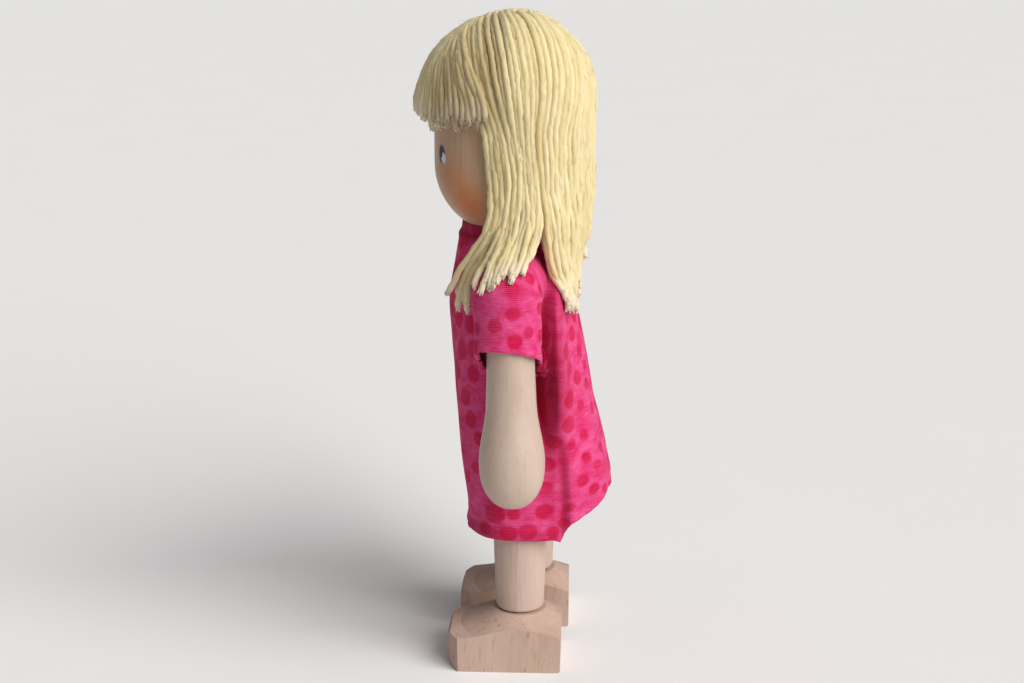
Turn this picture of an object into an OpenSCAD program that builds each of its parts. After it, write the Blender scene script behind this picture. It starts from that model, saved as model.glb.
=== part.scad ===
// Jointed wooden doll in a cotton frock, with wool-yarn hair.
// It stands on z = 0, faces -Y, and its own left side is +X. Millimetres.
// Turned beech limbs hang from elastic cords that run through the body;
// the head turns on a glued neck peg and each foot on an ankle peg.

/* [Head] */
// Radius of the wooden head
head_r = 10.75; // [10.4:0.05:11.2]
// Height of the centre of the head's lower ball
head_low_z = 77; // [76.8:0.1:79]
// Straight length between the head's lower and upper ball
head_mid = 10.1; // [8:0.1:10.5]
// How far the head's middle sits in front of its neck hole
head_fwd = 0.7; // [0:0.1:1.5]
// Radius of the neck peg
neck_r = 2.5; // [2:0.1:3]

/* [Body] */
// Half the depth of the wooden body
body_r = 8.2; // [7.6:0.1:8.3]
// Extra half width of the body beyond its half depth
body_wide = 1.8; // [1:0.1:1.8]
// Height of the body's top face
body_top = 66.2; // [65.5:0.1:66.4]
// Height of the body's underside, above the legs
body_low = 36.4; // [36.3:0.1:38]

/* [Arms] */
// Height of the shoulder axis
shoulder_z = 60; // [59.5:0.1:60.2]
// Distance of the arm's centre from the middle of the doll at the shoulder
shoulder_x = 14.5; // [14.5:0.1:15]
// Lean of the arm outwards, in degrees
arm_lean = 7.5; // [6.5:0.5:9]
// Backward swing of the hanging arm, in degrees
arm_back = 1.5; // [0:0.5:3]
// Radius of the upper arm
arm_r = 3.55; // [3.2:0.05:3.6]
// Radius of the rounded hand
hand_r = 4.9; // [4.4:0.05:4.9]
// Length from the shoulder axis to the end of the hand
arm_len = 31.7; // [29:0.1:32]

/* [Legs] */
// Height of the hip axis
hip_z = 32; // [31:0.1:32]
// Distance of each leg from the middle of the doll
leg_x = 8.1; // [8:0.1:8.2]
// Radius of the leg dowel
leg_r = 4.1; // [3.6:0.1:4.2]
// Radius of the leg at the ankle
leg_end = 3.7; // [3.5:0.1:3.8]
// Thin gap that shows at the ankle
ankle_gap = 0.2; // [0.1:0.05:0.4]
// Radius of the ankle peg
ankle_r = 2; // [1.5:0.1:2.2]

/* [Feet] */
// Length of the foot from heel to toe
foot_len = 17.8; // [17:0.1:18]
// Width of the foot
foot_w = 12; // [11:0.1:12]
// Height of the ankle seat above the floor
seat_z = 8.5; // [8.3:0.1:8.6]
// Distance from the ankle axis to the back of the heel
heel = 6.4; // [6:0.1:6.8]
// Turn of the left foot, toes outwards, in degrees
left_toe_out = 3.5; // [0:0.5:6]
// Turn of the right foot, toes inwards, in degrees
right_toe_in = 4; // [0:1:5]

/* [Cords] */
// Radius of the elastic cord
cord_r = 0.8; // [0.6:0.05:0.85]
// Radius of each knot
knot_r = 1.25; // [1:0.05:1.3]

/* [Frock] */
// Thickness of the cotton
cloth_t = 0.45; // [0.3:0.05:0.5]
// Height of the hem at the middle of the front
hem_front = 19.2; // [18:0.1:20]
// Height of the hem at the sides
hem_side = 21.2; // [20:0.1:22]
// Height of the hem at the middle of the back
hem_back = 26; // [22:0.1:27]
// Outer radius of the sleeves
sleeve_r = 5; // [4.7:0.05:5]
// Length of the sleeve below the shoulder axis
sleeve_len = 8; // [7:0.1:9]

/* [Hair] */
// Thickness of the yarn on the head
hair_t = 2.35; // [1.5:0.05:2.4]
// Extra thickness of the fringe at the forehead
fringe_t = 0.8; // [0:0.1:1]
// Height of the fringe's cut edge
fringe_z = 82.5; // [81:0.1:84]
// Height of the cut ends of the yarn at the back
hair_end_z = 54; // [52:0.5:58]

/* [Hidden] */
$fn = 96;
e = 0.01;
body_y = 0.4;      // middle of the wooden body
arm_y = 1.2;       // shoulder axis
leg_y = 2.1;       // hip and ankle axes
neck_y = -0.2;     // neck peg
sleeve_y = -0.5;   // the sleeve hangs a little to the front of the arm
head_y = neck_y - head_fwd;
cloth_y = 0.6;     // middle of the frock
fit = 0.06;        // running clearance on a peg
peg_low = 61.4;    // bottom of the neck peg, above the shoulder cord
tongue = 3.9;      // half width of the tongue between the legs
skirt_top = 36.6;
neck_top = 67.9;

// Catmull-Rom curve through a list of points, n steps in each span
function cr(a, b, c, d, t) = 0.5 * ((2*b) + (c - a)*t + (2*a - 5*b + 4*c - d)*t*t + (3*b - a - 3*c + d)*t*t*t);
function smooth(p, n) = [for (i = [0:len(p)-2]) for (k = [0:n-1])
    cr(p[max(i-1, 0)], p[i], p[i+1], p[min(i+2, len(p)-1)], k/n), p[len(p)-1]];

// A profile (r, z) swept round a stadium: turned at both ends, straight between
module stadium(p, wide, y) {
  full = concat(p, [for (i = [len(p)-1:-1:0]) [-p[i][0], p[i][1]]]);
  translate([0, y, 0]) {
    translate([wide, 0, 0]) rotate([0, 0, -90]) rotate_extrude(angle = 180) polygon(p);
    translate([-wide, 0, 0]) rotate([0, 0, 90]) rotate_extrude(angle = 180) polygon(p);
    translate([-wide, 0, 0]) rotate([90, 0, 90]) linear_extrude(2*wide)
      polygon(concat([for (q = p) if (q[0] > 0) q], [for (i = [len(p)-1:-1:0]) if (p[i][0] > 0) [-p[i][0], p[i][1]]]));
  }
}
module along_x(r, x0, x1, y, z) translate([x0, y, z]) rotate([0, 90, 0]) cylinder(r = r, h = x1 - x0);

body_profile = [[0, body_low], [body_r - 1.9, body_low], [body_r - 1.35, body_low + 0.25], [body_r - 1.1, body_low + 0.8],
  [body_r - 1.1, 46], [body_r - 0.8, 50], [body_r - 0.35, 53.5], [body_r - 0.12, 56], [body_r - 0.45, 59.5], [body_r - 1.1, 62.3], [body_r - 2.1, 64.4],
  [body_r - 3.2, 65.6], [body_r - 4.2, body_top], [0, body_top]];

module torso() color("burlywood") difference() {
  union() {
    stadium(body_profile, body_wide, body_y);
    // tongue between the legs
    translate([-tongue, leg_y - 4.4, hip_z]) cube([2*tongue, 8.8, body_low - hip_z + 0.5]);
    along_x(4.4, -tongue, tongue, leg_y, hip_z);
  }
  // seats for the arms
  for (s = [-1, 1]) translate([s*(9.7 + 5), arm_y, shoulder_z]) cube([10, 9, 9], center = true);
  along_x(1.1, -20, 20, arm_y, shoulder_z);
  along_x(1.1, -5, 5, leg_y, hip_z);
  translate([0, neck_y, peg_low]) cylinder(r = neck_r, h = 20);
}

module neck_peg() color("tan") translate([0, neck_y, peg_low]) cylinder(r = neck_r, h = head_low_z - 2 - peg_low);

module cord(half, knot_x, y, z) color("white") {
  along_x(cord_r, -half, half, y, z);
  for (s = [-1, 1]) translate([s*knot_x, y, z]) sphere(r = knot_r);
}
module shoulder_cord() cord(16.6, shoulder_x + 2.3, arm_y, shoulder_z);
module hip_cord() cord(10.2, leg_x + 2.35, leg_y, hip_z);

// ---- head and hair
module capsule(r, y) {
  translate([0, y, head_low_z]) sphere(r = r);
  translate([0, y, head_low_z + head_mid]) sphere(r = r);
  translate([0, y, head_low_z]) cylinder(r = r, h = head_mid);
}
module head() color("tan") difference() {
  capsule(head_r, head_y);
  translate([0, neck_y, head_low_z - 20]) cylinder(r = neck_r + fit, h = 20 - 1.5);
  translate([0, neck_y, head_low_z - 20]) cylinder(r = 4, h = 20 - head_r + 0.75);
}
hair_y = head_y + 0.1;
module face_side(half, z0, z1) translate([-half, -40, z0]) cube([2*half, 40 + head_y - 2.5, z1 - z0]);
module hair_cap() color("khaki") difference() {
  capsule(head_r + hair_t, hair_y);
  capsule(head_r + 0.05, head_y);
  translate([-30, -30, 40]) cube([60, 60, 29.5]);
  face_side(30, 40, 101 - 9);
}
module fringe() color("khaki") difference() {
  intersection() {
    capsule(head_r + hair_t + fringe_t, hair_y);
    face_side(12.5, fringe_z, 92);
  }
  capsule(head_r + 0.05, head_y);
}
module ring(r0, r1, y, z0, z1) difference() {
  translate([0, y, z0]) cylinder(r = r1, h = z1 - z0);
  translate([0, y, z0 - 1]) cylinder(r = r0, h = z1 - z0 + 2);
}
module hair_lengths() color("khaki") {
  // side and back yarn from the cap down to the shoulders
  difference() {
    ring(11.3, 13.1, hair_y, 65, 69.5);
    translate([-30, -30, 60]) cube([60, 30 + head_y - 2.5, 20]);
  }
  // curtain that lies on the back
  intersection() {
    ring(11.25, 12.5, -0.4, hair_end_z, 65.5);
    translate([-6, 5, 50]) cube([12, 20, 20]);
  }
  // locks that lie over the front of the shoulders
  for (s = [-1, 1]) intersection() {
    ring(11.3, 13.1, hair_y, 55.5, 69.5);
    union() {
      translate([s*8.6 - 2.6, -12, 50]) cube([5.2, 8.2, 20]);
      translate([s*10 - 4, -5, 67]) cube([8, 3, 10]);
    }
  }
}

// ---- arms
al = arm_len/31.7;
arm_profile = smooth([[arm_r, 0], [arm_r, -6*al], [arm_r + 0.02, -10.4*al], [arm_r + 0.12, -14*al], [arm_r + 0.25, -16.9*al], [arm_r + 0.62, -19.3*al],
  [hand_r - 0.33, -21.4*al], [hand_r - 0.07, -23.2*al], [hand_r, -24.8*al], [hand_r - 0.16, -26.8*al],
  [hand_r - 0.66, -28.6*al], [hand_r - 1.75, -30.3*al], [hand_r - 3.1, -31.3*al], [0.01, -arm_len]], 3);
module at_shoulder(s) translate([s*shoulder_x, arm_y, shoulder_z]) rotate([arm_back, 0, 0]) rotate([0, -s*arm_lean, 0]) children();
module arm(s) color("burlywood") difference() {
  at_shoulder(s) {
    sphere(r = arm_r);
    rotate_extrude() polygon(concat([[0, 0]], arm_profile, [[0, -arm_len]]));
  }
  along_x(1, -25, 25, arm_y, shoulder_z);
  // knot recess on the outside, bearing flat on the inside
  translate([s*(shoulder_x + 5.9), arm_y, shoulder_z]) rotate([0, 90, 0]) cylinder(r = 1.7, h = 10, center = true);
  translate([s*(11.1 - 5), arm_y, shoulder_z]) cube([10, 12, 12], center = true);
}
module left_arm() arm(1);
module right_arm() arm(-1);

module sleeve(s) color("hotpink") difference() {
  at_shoulder(s) difference() {
    translate([0, sleeve_y, 0]) {
      sphere(r = sleeve_r);
      translate([0, 0, -sleeve_len]) cylinder(r = sleeve_r, h = sleeve_len);
    }
    translate([0, sleeve_y, 0]) sphere(r = sleeve_r - cloth_t);
    translate([0, sleeve_y, -sleeve_len - 1]) cylinder(r = sleeve_r - cloth_t, h = sleeve_len + 1);
  }
  translate([s*(11.2 - 10), arm_y, shoulder_z]) cube([20, 30, 40], center = true);
}
module left_sleeve() sleeve(1);
module right_sleeve() sleeve(-1);

// ---- legs and feet
foot_top = seat_z + ankle_gap;
module leg(s) color("burlywood") difference() {
  union() {
    translate([s*leg_x, leg_y, hip_z]) sphere(r = leg_r);
    translate([s*leg_x, leg_y, 0]) rotate_extrude() polygon([[0, foot_top], [leg_end - 0.4, foot_top],
      [leg_end - 0.12, foot_top + 0.12], [leg_end, foot_top + 0.4], [leg_end + 0.16, foot_top + 4], [leg_r - 0.04, foot_top + 10.5], [leg_r, foot_top + 14], [leg_r, hip_z], [0, hip_z]]);
  }
  along_x(1, -20, 20, leg_y, hip_z);
  translate([s*(leg_x + 1.05 + 5), leg_y, hip_z]) rotate([0, 90, 0]) cylinder(r = 1.6, h = 10, center = true);
  translate([s*leg_x, leg_y, 0]) cylinder(r = ankle_r + fit, h = seat_z + 6.6);
}
module left_leg() leg(1);
module right_leg() leg(-1);

toe = foot_len - heel;
out = 0.5;         // the block's middle sits this far outside the ankle
// Side view of the block, heel at +y, with a rounded nose
nose = [for (a = [0:9:90]) [-toe + 3.2 - 3.2*cos(a), 2.6 + (seat_z - 1.2 - 2.6)*sin(a)]];
under = [for (a = [90:-15:0]) [-toe + 2 - 2*sin(a), 2.6 - 2.6*cos(a)]];
foot_side = concat([[heel - 0.45, 0], [heel - 0.12, 0.12], [heel, 0.45], [heel, seat_z], [-toe + 3.2, seat_z]],
  [for (i = [len(nose)-1:-1:0]) nose[i]], [for (q = under) if (q[1] < 2.5) q]);
module foot(s, turn) color("burlywood") translate([s*leg_x, leg_y, 0]) rotate([0, 0, turn]) difference() {
  intersection() {
    translate([s*out - foot_w/2, 0, 0]) rotate([90, 0, 90]) linear_extrude(foot_w) polygon(foot_side);
    // rounded toe in plan
    translate([s*out, -toe + 10, -1]) cylinder(r = 10, h = 20);
    // top turned to a shallow cone round the ankle
    rotate_extrude() polygon([[0, -1], [18, -1], [18, seat_z - 3.6], [11.2, seat_z - 2.95], [9.2, seat_z - 2.65], [6.5, seat_z - 1.4], [leg_end + 0.4, seat_z], [0, seat_z]]);
  }
  translate([0, 0, 2.4]) cylinder(r = ankle_r, h = 20);
}
module left_foot() foot(1, left_toe_out);
module right_foot() foot(-1, right_toe_in);
module ankle_peg(s) color("tan") translate([s*leg_x, leg_y, 2.4]) cylinder(r = ankle_r, h = seat_z - 2.4 + 6);
module left_ankle_peg() ankle_peg(1);
module right_ankle_peg() ankle_peg(-1);

// ---- frock: sections by height, as half width, front and back half depth
half_w = [[18, 13.2], [20, 13.15], [25, 13.1], [30, 13.0], [32, 12.95], [36.6, 12.4], [42, 11.7], [50, 11.0], [57, 10.6], [60, 10.55], [62.5, 10.0], [65, 8.8], [66.8, 8.0], [68.2, 7.6]];
front_d = [[18, 7.55], [25, 7.7], [28.8, 8.1], [37, 9.1], [42.6, 9.6], [49, 9.95], [57, 9.9], [60, 9.5], [62, 9.1], [65, 8.6], [66.8, 8.3], [68.2, 8.05]];
back_d = [[18, 15.0], [25, 15.3], [27.8, 15.1], [31.5, 14.3], [35.6, 13.2], [39.7, 12.3], [44, 11.5], [49, 10.6], [54, 9.7], [60, 8.85], [63, 8.3], [66.8, 7.6], [68.2, 7.3]];
function sgnpow(v, p) = sign(v) * pow(abs(v), p);
function ring_pt(u, z, t) = [(lookup(z, half_w) - t) * sgnpow(cos(u), 0.95),
  cloth_y + ((sin(u) < 0 ? lookup(z, front_d) : lookup(z, back_d)) - t) * sgnpow(sin(u), 0.95), z];
function hem_z(u) = hem_side + (sin(u) < 0 ? (hem_front - hem_side)*pow(sin(u), 2) : (hem_back - hem_side)*pow(sin(u), 2));
// Closed cloth shell between an upper level and a lower level that may vary round it
module shell(z1, lows, nu, nv, t) {
  n = nu*(nv + 1);
  zs = [for (k = [0:nv]) for (i = [0:nu-1]) z1 + (lows[i] - z1)*k/nv];
  pts = concat([for (j = [0:n-1]) ring_pt(360*(j % nu)/nu, zs[j], 0)], [for (j = [0:n-1]) ring_pt(360*(j % nu)/nu, zs[j], t)]);
  function q(a, b, c, d, flip) = flip ? [[a, c, b], [a, d, c]] : [[a, b, c], [a, c, d]];
  faces = concat(
    [for (k = [0:nv-1]) for (i = [0:nu-1]) let (a = k*nu + i, b = k*nu + (i+1) % nu) each q(a, b, b + nu, a + nu, false)],
    [for (k = [0:nv-1]) for (i = [0:nu-1]) let (a = n + k*nu + i, b = n + k*nu + (i+1) % nu) each q(a, b, b + nu, a + nu, true)],
    [for (i = [0:nu-1]) let (a = i, b = (i+1) % nu) each q(a, b, n + b, n + a, true)],
    [for (i = [0:nu-1]) let (a = nv*nu + i, b = nv*nu + (i+1) % nu) each q(a, b, n + b, n + a, false)]);
  polyhedron(points = pts, faces = faces, convexity = 6);
}
module bodice() color("deeppink") difference() {
  shell(66.4, [for (i = [0:47]) skirt_top], 48, 14, cloth_t);
  along_x(2.4, -20, 20, arm_y, shoulder_z);
}
module skirt() color("deeppink") shell(skirt_top, [for (i = [0:47]) hem_z(360*i/48)], 48, 8, cloth_t);
module neck_hem() color("crimson") shell(neck_top, [for (i = [0:47]) 66.45], 48, 2, cloth_t + 0.25);

torso();
neck_peg();
shoulder_cord();
hip_cord();
bodice();
skirt();
neck_hem();
head();
hair_cap();
fringe();
hair_lengths();
left_arm();
right_arm();
left_sleeve();
right_sleeve();
left_leg();
right_leg();
left_foot();
right_foot();
left_ankle_peg();
right_ankle_peg();
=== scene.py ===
import math

import bmesh
import bpy
import numpy as np
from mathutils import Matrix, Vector


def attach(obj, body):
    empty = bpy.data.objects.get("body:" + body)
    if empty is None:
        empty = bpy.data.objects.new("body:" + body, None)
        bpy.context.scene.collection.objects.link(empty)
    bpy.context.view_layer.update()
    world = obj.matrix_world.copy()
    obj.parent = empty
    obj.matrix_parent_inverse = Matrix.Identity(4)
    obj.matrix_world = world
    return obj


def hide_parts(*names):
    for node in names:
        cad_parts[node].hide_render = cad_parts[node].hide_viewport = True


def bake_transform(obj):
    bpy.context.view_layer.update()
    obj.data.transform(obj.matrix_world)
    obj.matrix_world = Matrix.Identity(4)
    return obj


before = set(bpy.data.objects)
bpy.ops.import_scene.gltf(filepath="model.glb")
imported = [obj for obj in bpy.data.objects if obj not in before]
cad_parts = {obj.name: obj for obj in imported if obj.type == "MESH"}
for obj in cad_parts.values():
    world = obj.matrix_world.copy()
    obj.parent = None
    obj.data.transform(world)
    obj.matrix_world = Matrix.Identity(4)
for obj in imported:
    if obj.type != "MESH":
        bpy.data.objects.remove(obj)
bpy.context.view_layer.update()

MM = 0.001


# ------------------------------------------------------------------ camera
def look_at(obj, target):
    d = Vector(target) - obj.location
    obj.rotation_mode = "QUATERNION"
    obj.rotation_quaternion = d.to_track_quat("-Z", "Y")


cam_data = bpy.data.cameras.new("camera")
cam = bpy.data.objects.new("camera", cam_data)
bpy.context.scene.collection.objects.link(cam)
bpy.context.scene.camera = cam
cam_data.sensor_width = 36.0
cam_data.lens = 36.0 * 1980.0 / 1024.0
CAM_AZ = math.radians(5.96)
cam.location = (0.2934 * math.cos(CAM_AZ), 0.2934 * math.sin(CAM_AZ), 0.1353)
cam_data.clip_start, cam_data.clip_end = 0.01, 20
look_at(cam, (0, 0, 0.04893))


# ------------------------------------------------------------------ small helpers
def sstep(a, b, x):
    t = np.clip((x - a) / (b - a), 0, 1)
    return t * t * (3 - 2 * t)


def table(points, sigma=1.2, lo=-5.0, hi=110.0, step=0.25):
    """A curve through (x, y) pairs, rounded off, as a function."""
    p = np.array(points, float)
    xs = np.arange(lo, hi, step)
    ys = np.interp(xs, p[:, 0], p[:, 1])
    if sigma > 0:
        n = int(4 * sigma / step)
        k = np.exp(-0.5 * (np.arange(-n, n + 1) * step / sigma) ** 2)
        ys = np.convolve(np.pad(ys, n, mode="edge"), k / k.sum(), mode="valid")
    return lambda x: np.interp(x, xs, ys)


def waves(seed, n, lo, hi):
    """Smooth noise in space: a sum of plane waves with wavelengths from lo to hi mm, about -1 to 1."""
    rng = np.random.default_rng(seed)
    k = rng.normal(size=(n, 3))
    k /= np.linalg.norm(k, axis=1)[:, None]
    k *= (2 * math.pi / rng.uniform(lo, hi, n))[:, None]
    ph = rng.uniform(0, 2 * math.pi, n)

    def f(p):
        return np.sin(p @ k.T + ph).sum(-1) / math.sqrt(n) * 0.8

    return f


def make_mesh(name, verts, faces, smooth=True):
    """An object in the row frame from verts in mm."""
    me = bpy.data.meshes.new(name)
    me.from_pydata((np.asarray(verts, float) * MM).tolist(), [], [list(map(int, f)) for f in faces])
    me.update()
    if smooth:
        me.polygons.foreach_set("use_smooth", [True] * len(me.polygons))
    ob = bpy.data.objects.new(name, me)
    bpy.context.scene.collection.objects.link(ob)
    return ob


def add_attr(ob, name, values, kind="FLOAT_VECTOR"):
    a = ob.data.attributes.new(name, kind, "POINT")
    v = np.asarray(values, np.float32)
    a.data.foreach_set("vector" if kind == "FLOAT_VECTOR" else "value", v.ravel())
    return a


# ------------------------------------------------------------------ node materials
class Nodes:
    """Short-hand for building a material's node tree."""

    def __init__(self, name):
        self.mat = bpy.data.materials.new(name)
        self.mat.use_nodes = True
        self.t = self.mat.node_tree
        self.t.nodes.clear()
        self.out = self.t.nodes.new("ShaderNodeOutputMaterial")
        self.bsdf = self.t.nodes.new("ShaderNodeBsdfPrincipled")
        self.t.links.new(self.bsdf.outputs[0], self.out.inputs[0])

    def link(self, a, b):
        self.t.links.new(a, b)

    def node(self, kind, **props):
        n = self.t.nodes.new(kind)
        for k, v in props.items():
            setattr(n, k, v)
        return n

    def coords(self):
        return self.node("ShaderNodeTexCoord").outputs["Object"]

    def attr(self, name, out="Vector"):
        n = self.node("ShaderNodeAttribute", attribute_name=name)
        return n.outputs[out]

    def mapping(self, vec, scale=(1, 1, 1), loc=(0, 0, 0), rot=(0, 0, 0)):
        n = self.node("ShaderNodeMapping")
        n.inputs["Scale"].default_value = scale
        n.inputs["Location"].default_value = loc
        n.inputs["Rotation"].default_value = rot
        self.link(vec, n.inputs["Vector"])
        return n.outputs[0]

    def noise(self, vec, scale, detail=2.0, rough=0.5, distort=0.0, out="Fac"):
        n = self.node("ShaderNodeTexNoise")
        n.inputs["Scale"].default_value = scale
        n.inputs["Detail"].default_value = detail
        n.inputs["Roughness"].default_value = rough
        n.inputs["Distortion"].default_value = distort
        self.link(vec, n.inputs["Vector"])
        return n.outputs[out]

    def voronoi(self, vec, scale, rand=1.0, dims="3D", feature="F1", out="Distance"):
        n = self.node("ShaderNodeTexVoronoi", voronoi_dimensions=dims, feature=feature)
        n.inputs["Scale"].default_value = scale
        n.inputs["Randomness"].default_value = rand
        self.link(vec, n.inputs["Vector"])
        return n.outputs[out]

    def val(self, x, sock):
        if isinstance(x, (int, float)):
            sock.default_value = x
        elif isinstance(x, (tuple, list)):
            sock.default_value = tuple(x) + ((1.0,) if len(x) == 3 and len(sock.default_value) == 4 else ())
        else:
            self.link(x, sock)

    def math(self, op, a, b=0.0, c=0.0, clamp=False):
        n = self.node("ShaderNodeMath", operation=op, use_clamp=clamp)
        for x, s in zip((a, b, c), n.inputs):
            self.val(x, s)
        return n.outputs[0]

    def vmath(self, op, a, b=(0, 0, 0), out=0):
        n = self.node("ShaderNodeVectorMath", operation=op)
        for x, s in zip((a, b), n.inputs):
            self.val(x, s)
        return n.outputs[out]

    def range(self, x, a, b, c=0.0, d=1.0, smooth=True):
        n = self.node("ShaderNodeMapRange")
        if smooth:
            n.interpolation_type = "SMOOTHSTEP"
        self.val(x, n.inputs["Value"])
        for k, v in zip(("From Min", "From Max", "To Min", "To Max"), (a, b, c, d)):
            self.val(v, n.inputs[k])
        return n.outputs["Result"]

    def mix(self, f, a, b, mode="MIX"):
        n = self.node("ShaderNodeMix", data_type="RGBA", blend_type=mode)
        n.clamp_factor = True
        self.val(f, n.inputs[0])
        self.val(a, n.inputs[6])
        self.val(b, n.inputs[7])
        return n.outputs[2]

    def sep(self, v):
        n = self.node("ShaderNodeSeparateXYZ")
        self.link(v, n.inputs[0])
        return n.outputs

    def comb(self, x, y, z):
        n = self.node("ShaderNodeCombineXYZ")
        for v, s in zip((x, y, z), n.inputs):
            self.val(v, s)
        return n.outputs[0]

    def bump(self, height, strength=1.0, distance=0.0001, normal=None):
        n = self.node("ShaderNodeBump")
        n.inputs["Strength"].default_value = strength
        n.inputs["Distance"].default_value = distance
        self.link(height, n.inputs["Height"])
        if normal is not None:
            self.link(normal, n.inputs["Normal"])
        return n.outputs[0]

    def set(self, **k):
        for name, v in k.items():
            self.val(v, self.bsdf.inputs[name.replace("_", " ")])
        return self


def srgb(r, g, b):
    def lin(c):
        c /= 255.0
        return c / 12.92 if c <= 0.04045 else ((c + 0.055) / 1.055) ** 2.4

    return (lin(r), lin(g), lin(b))


def wood(name, base, grain, fleck, along=(0, 0, 1), fleck_amount=1.0, rough=0.62, pores=1.0, across=(1, 0, 0)):
    """Fine beech: faint streaks along the grain, short darker ray flecks and tiny pores. along is the grain's direction."""
    m = Nodes(name)
    c = m.vmath("SCALE", m.coords())
    m.t.nodes[-1].inputs["Scale"].default_value = 1000.0  # millimetres
    # coordinates with the first axis along the grain
    a = Vector(along).normalized()
    s = Vector(across)
    s = (s - a * s.dot(a)).normalized()
    t = a.cross(s)
    u = m.vmath("DOT_PRODUCT", c, tuple(a), out=1)
    v = m.vmath("DOT_PRODUCT", c, tuple(s), out=1)
    w = m.vmath("DOT_PRODUCT", c, tuple(t), out=1)
    g = m.comb(u, v, w)
    wide = m.noise(m.mapping(g, (0.04, 0.35, 0.35)), 1.0, 3.0, 0.55)
    streak = m.noise(m.mapping(g, (0.09, 2.6, 2.6)), 1.0, 3.0, 0.6)
    fine = m.noise(m.mapping(g, (0.35, 9.0, 9.0)), 1.0, 2.0, 0.6)
    col = m.mix(m.range(wide, 0.3, 0.7), base, grain)
    col = m.mix(m.math("MULTIPLY", m.range(streak, 0.5, 0.72), 0.45), col, fleck)
    col = m.mix(m.math("MULTIPLY", m.range(fine, 0.5, 0.8), 0.18 * pores), col, tuple(x * 0.55 for x in fleck))
    # ray flecks: short lens-shaped marks across the grain on the radial face
    vor = m.voronoi(m.mapping(g, (0.42, 1.0, 1.0)), 0.8, 1.0)
    vcol = m.voronoi(m.mapping(g, (0.42, 1.0, 1.0)), 0.8, 1.0, out="Color")
    keep = m.range(m.sep(vcol)[0], 0.45, 0.55)
    mark = m.math("MULTIPLY", m.range(vor, 0.30, 0.12), keep)
    col = m.mix(m.math("MULTIPLY", mark, 0.5 * fleck_amount), col, fleck)
    h = m.math("ADD", m.math("MULTIPLY", fine, 0.6), m.math("MULTIPLY", streak, 0.4))
    m.set(Base_Color=col, Roughness=m.range(streak, 0.3, 0.8, rough - 0.06, rough + 0.08))
    m.bsdf.inputs["Normal"].default_value = (0, 0, 0)
    m.link(m.bump(h, 0.25, 0.00008), m.bsdf.inputs["Normal"])
    m.bsdf.inputs["Specular IOR Level"].default_value = 0.35
    return m


# ------------------------------------------------------------------ stage and light
def stage():
    me = bpy.data.meshes.new("floor")
    s = 3.0
    me.from_pydata([(-s, -s, 0), (s, -s, 0), (s, s, 0), (-s, s, 0)], [], [(0, 1, 2, 3)])
    floor = bpy.data.objects.new("floor", me)
    bpy.context.scene.collection.objects.link(floor)
    m = Nodes("floor_paper")
    n = m.noise(m.coords(), 40.0, 3.0)
    m.set(Base_Color=m.mix(n, (0.88, 0.88, 0.885), (0.90, 0.90, 0.905)), Roughness=0.9)
    m.bsdf.inputs["Specular IOR Level"].default_value = 0.1
    floor.data.materials.append(m.mat)

    # a dim room, with a soft glow overhead and behind the doll
    world = bpy.data.worlds.new("world")
    bpy.context.scene.world = world
    world.use_nodes = True
    t = world.node_tree
    bg = t.nodes["Background"]
    tc = t.nodes.new("ShaderNodeTexCoord")
    sep = t.nodes.new("ShaderNodeSeparateXYZ")
    t.links.new(tc.outputs["Generated"], sep.inputs[0])

    def ramp(sock, lo, hi, top):
        mr = t.nodes.new("ShaderNodeMapRange")
        mr.interpolation_type = "SMOOTHSTEP"
        mr.inputs["From Min"].default_value, mr.inputs["From Max"].default_value = lo, hi
        mr.inputs["To Min"].default_value, mr.inputs["To Max"].default_value = 0.0, top
        t.links.new(sock, mr.inputs["Value"])
        return mr.outputs["Result"]

    def add(a, b):
        n = t.nodes.new("ShaderNodeMath")
        n.operation = "ADD"
        for x, k in ((a, n.inputs[0]), (b, n.inputs[1])):
            if isinstance(x, float):
                k.default_value = x
            else:
                t.links.new(x, k)
        return n.outputs[0]

    glow = add(add(ramp(sep.outputs[2], 0.35, 1.0, SKY_TOP), ramp(sep.outputs[1], -0.2, 1.0, SKY_BACK)), SKY_BASE)
    t.links.new(glow, bg.inputs["Strength"])
    bg.inputs["Color"].default_value = (1.0, 1.0, 1.0, 1)

    def sun(name, frm, power, angle, color):
        l = bpy.data.lights.new(name, "SUN")
        l.energy = power
        l.angle = math.radians(angle)
        l.color = color
        o = bpy.data.objects.new(name, l)
        o.location = frm
        bpy.context.scene.collection.objects.link(o)
        look_at(o, (0, 0, 0))

    # one large soft light from behind the doll's left shoulder
    sun("key", KEY_FROM, KEY_POWER, 50, (1.0, 0.98, 0.955))


SKY_BASE, SKY_TOP, SKY_BACK = 0.02, 0.42, 0.20
KEY_FROM, KEY_POWER = (0.46, 0.68, 0.60), 3.15
stage()
bpy.context.scene.view_settings.view_transform = "Standard"
bpy.context.scene.view_settings.look = "None"


# ------------------------------------------------------------------ frock
YC = 0.6
half_w = table([[10, 13.3], [18, 13.2], [20, 13.2], [25, 13.15], [30, 13.05], [32, 13.0], [36.6, 12.4], [42, 11.7], [50, 11.0], [57, 10.6], [60, 10.5], [62.5, 10.0], [65, 8.8], [66.8, 7.6], [68.2, 7.1], [74, 7.0]], 0.9)
front_d = table([[10, 7.5], [18, 7.55], [25, 7.7], [28.8, 8.1], [37, 9.05], [42.6, 9.5], [49, 9.85], [57, 9.85], [60, 9.5], [62, 9.1], [65, 8.6], [66.8, 8.3], [68.2, 8.1], [74, 7.9]], 0.9)
back_d = table([[10, 14.3], [18, 14.9], [22, 14.4], [25, 14.75], [26.6, 15.1], [28.2, 15.2], [31.5, 14.5], [35.6, 13.35], [39.7, 12.45], [44, 11.65], [49, 10.7], [54, 9.8], [57, 9.3], [60, 8.85], [63, 8.35], [66.8, 7.1], [68.2, 6.7], [74, 6.6]], 0.9)
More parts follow.
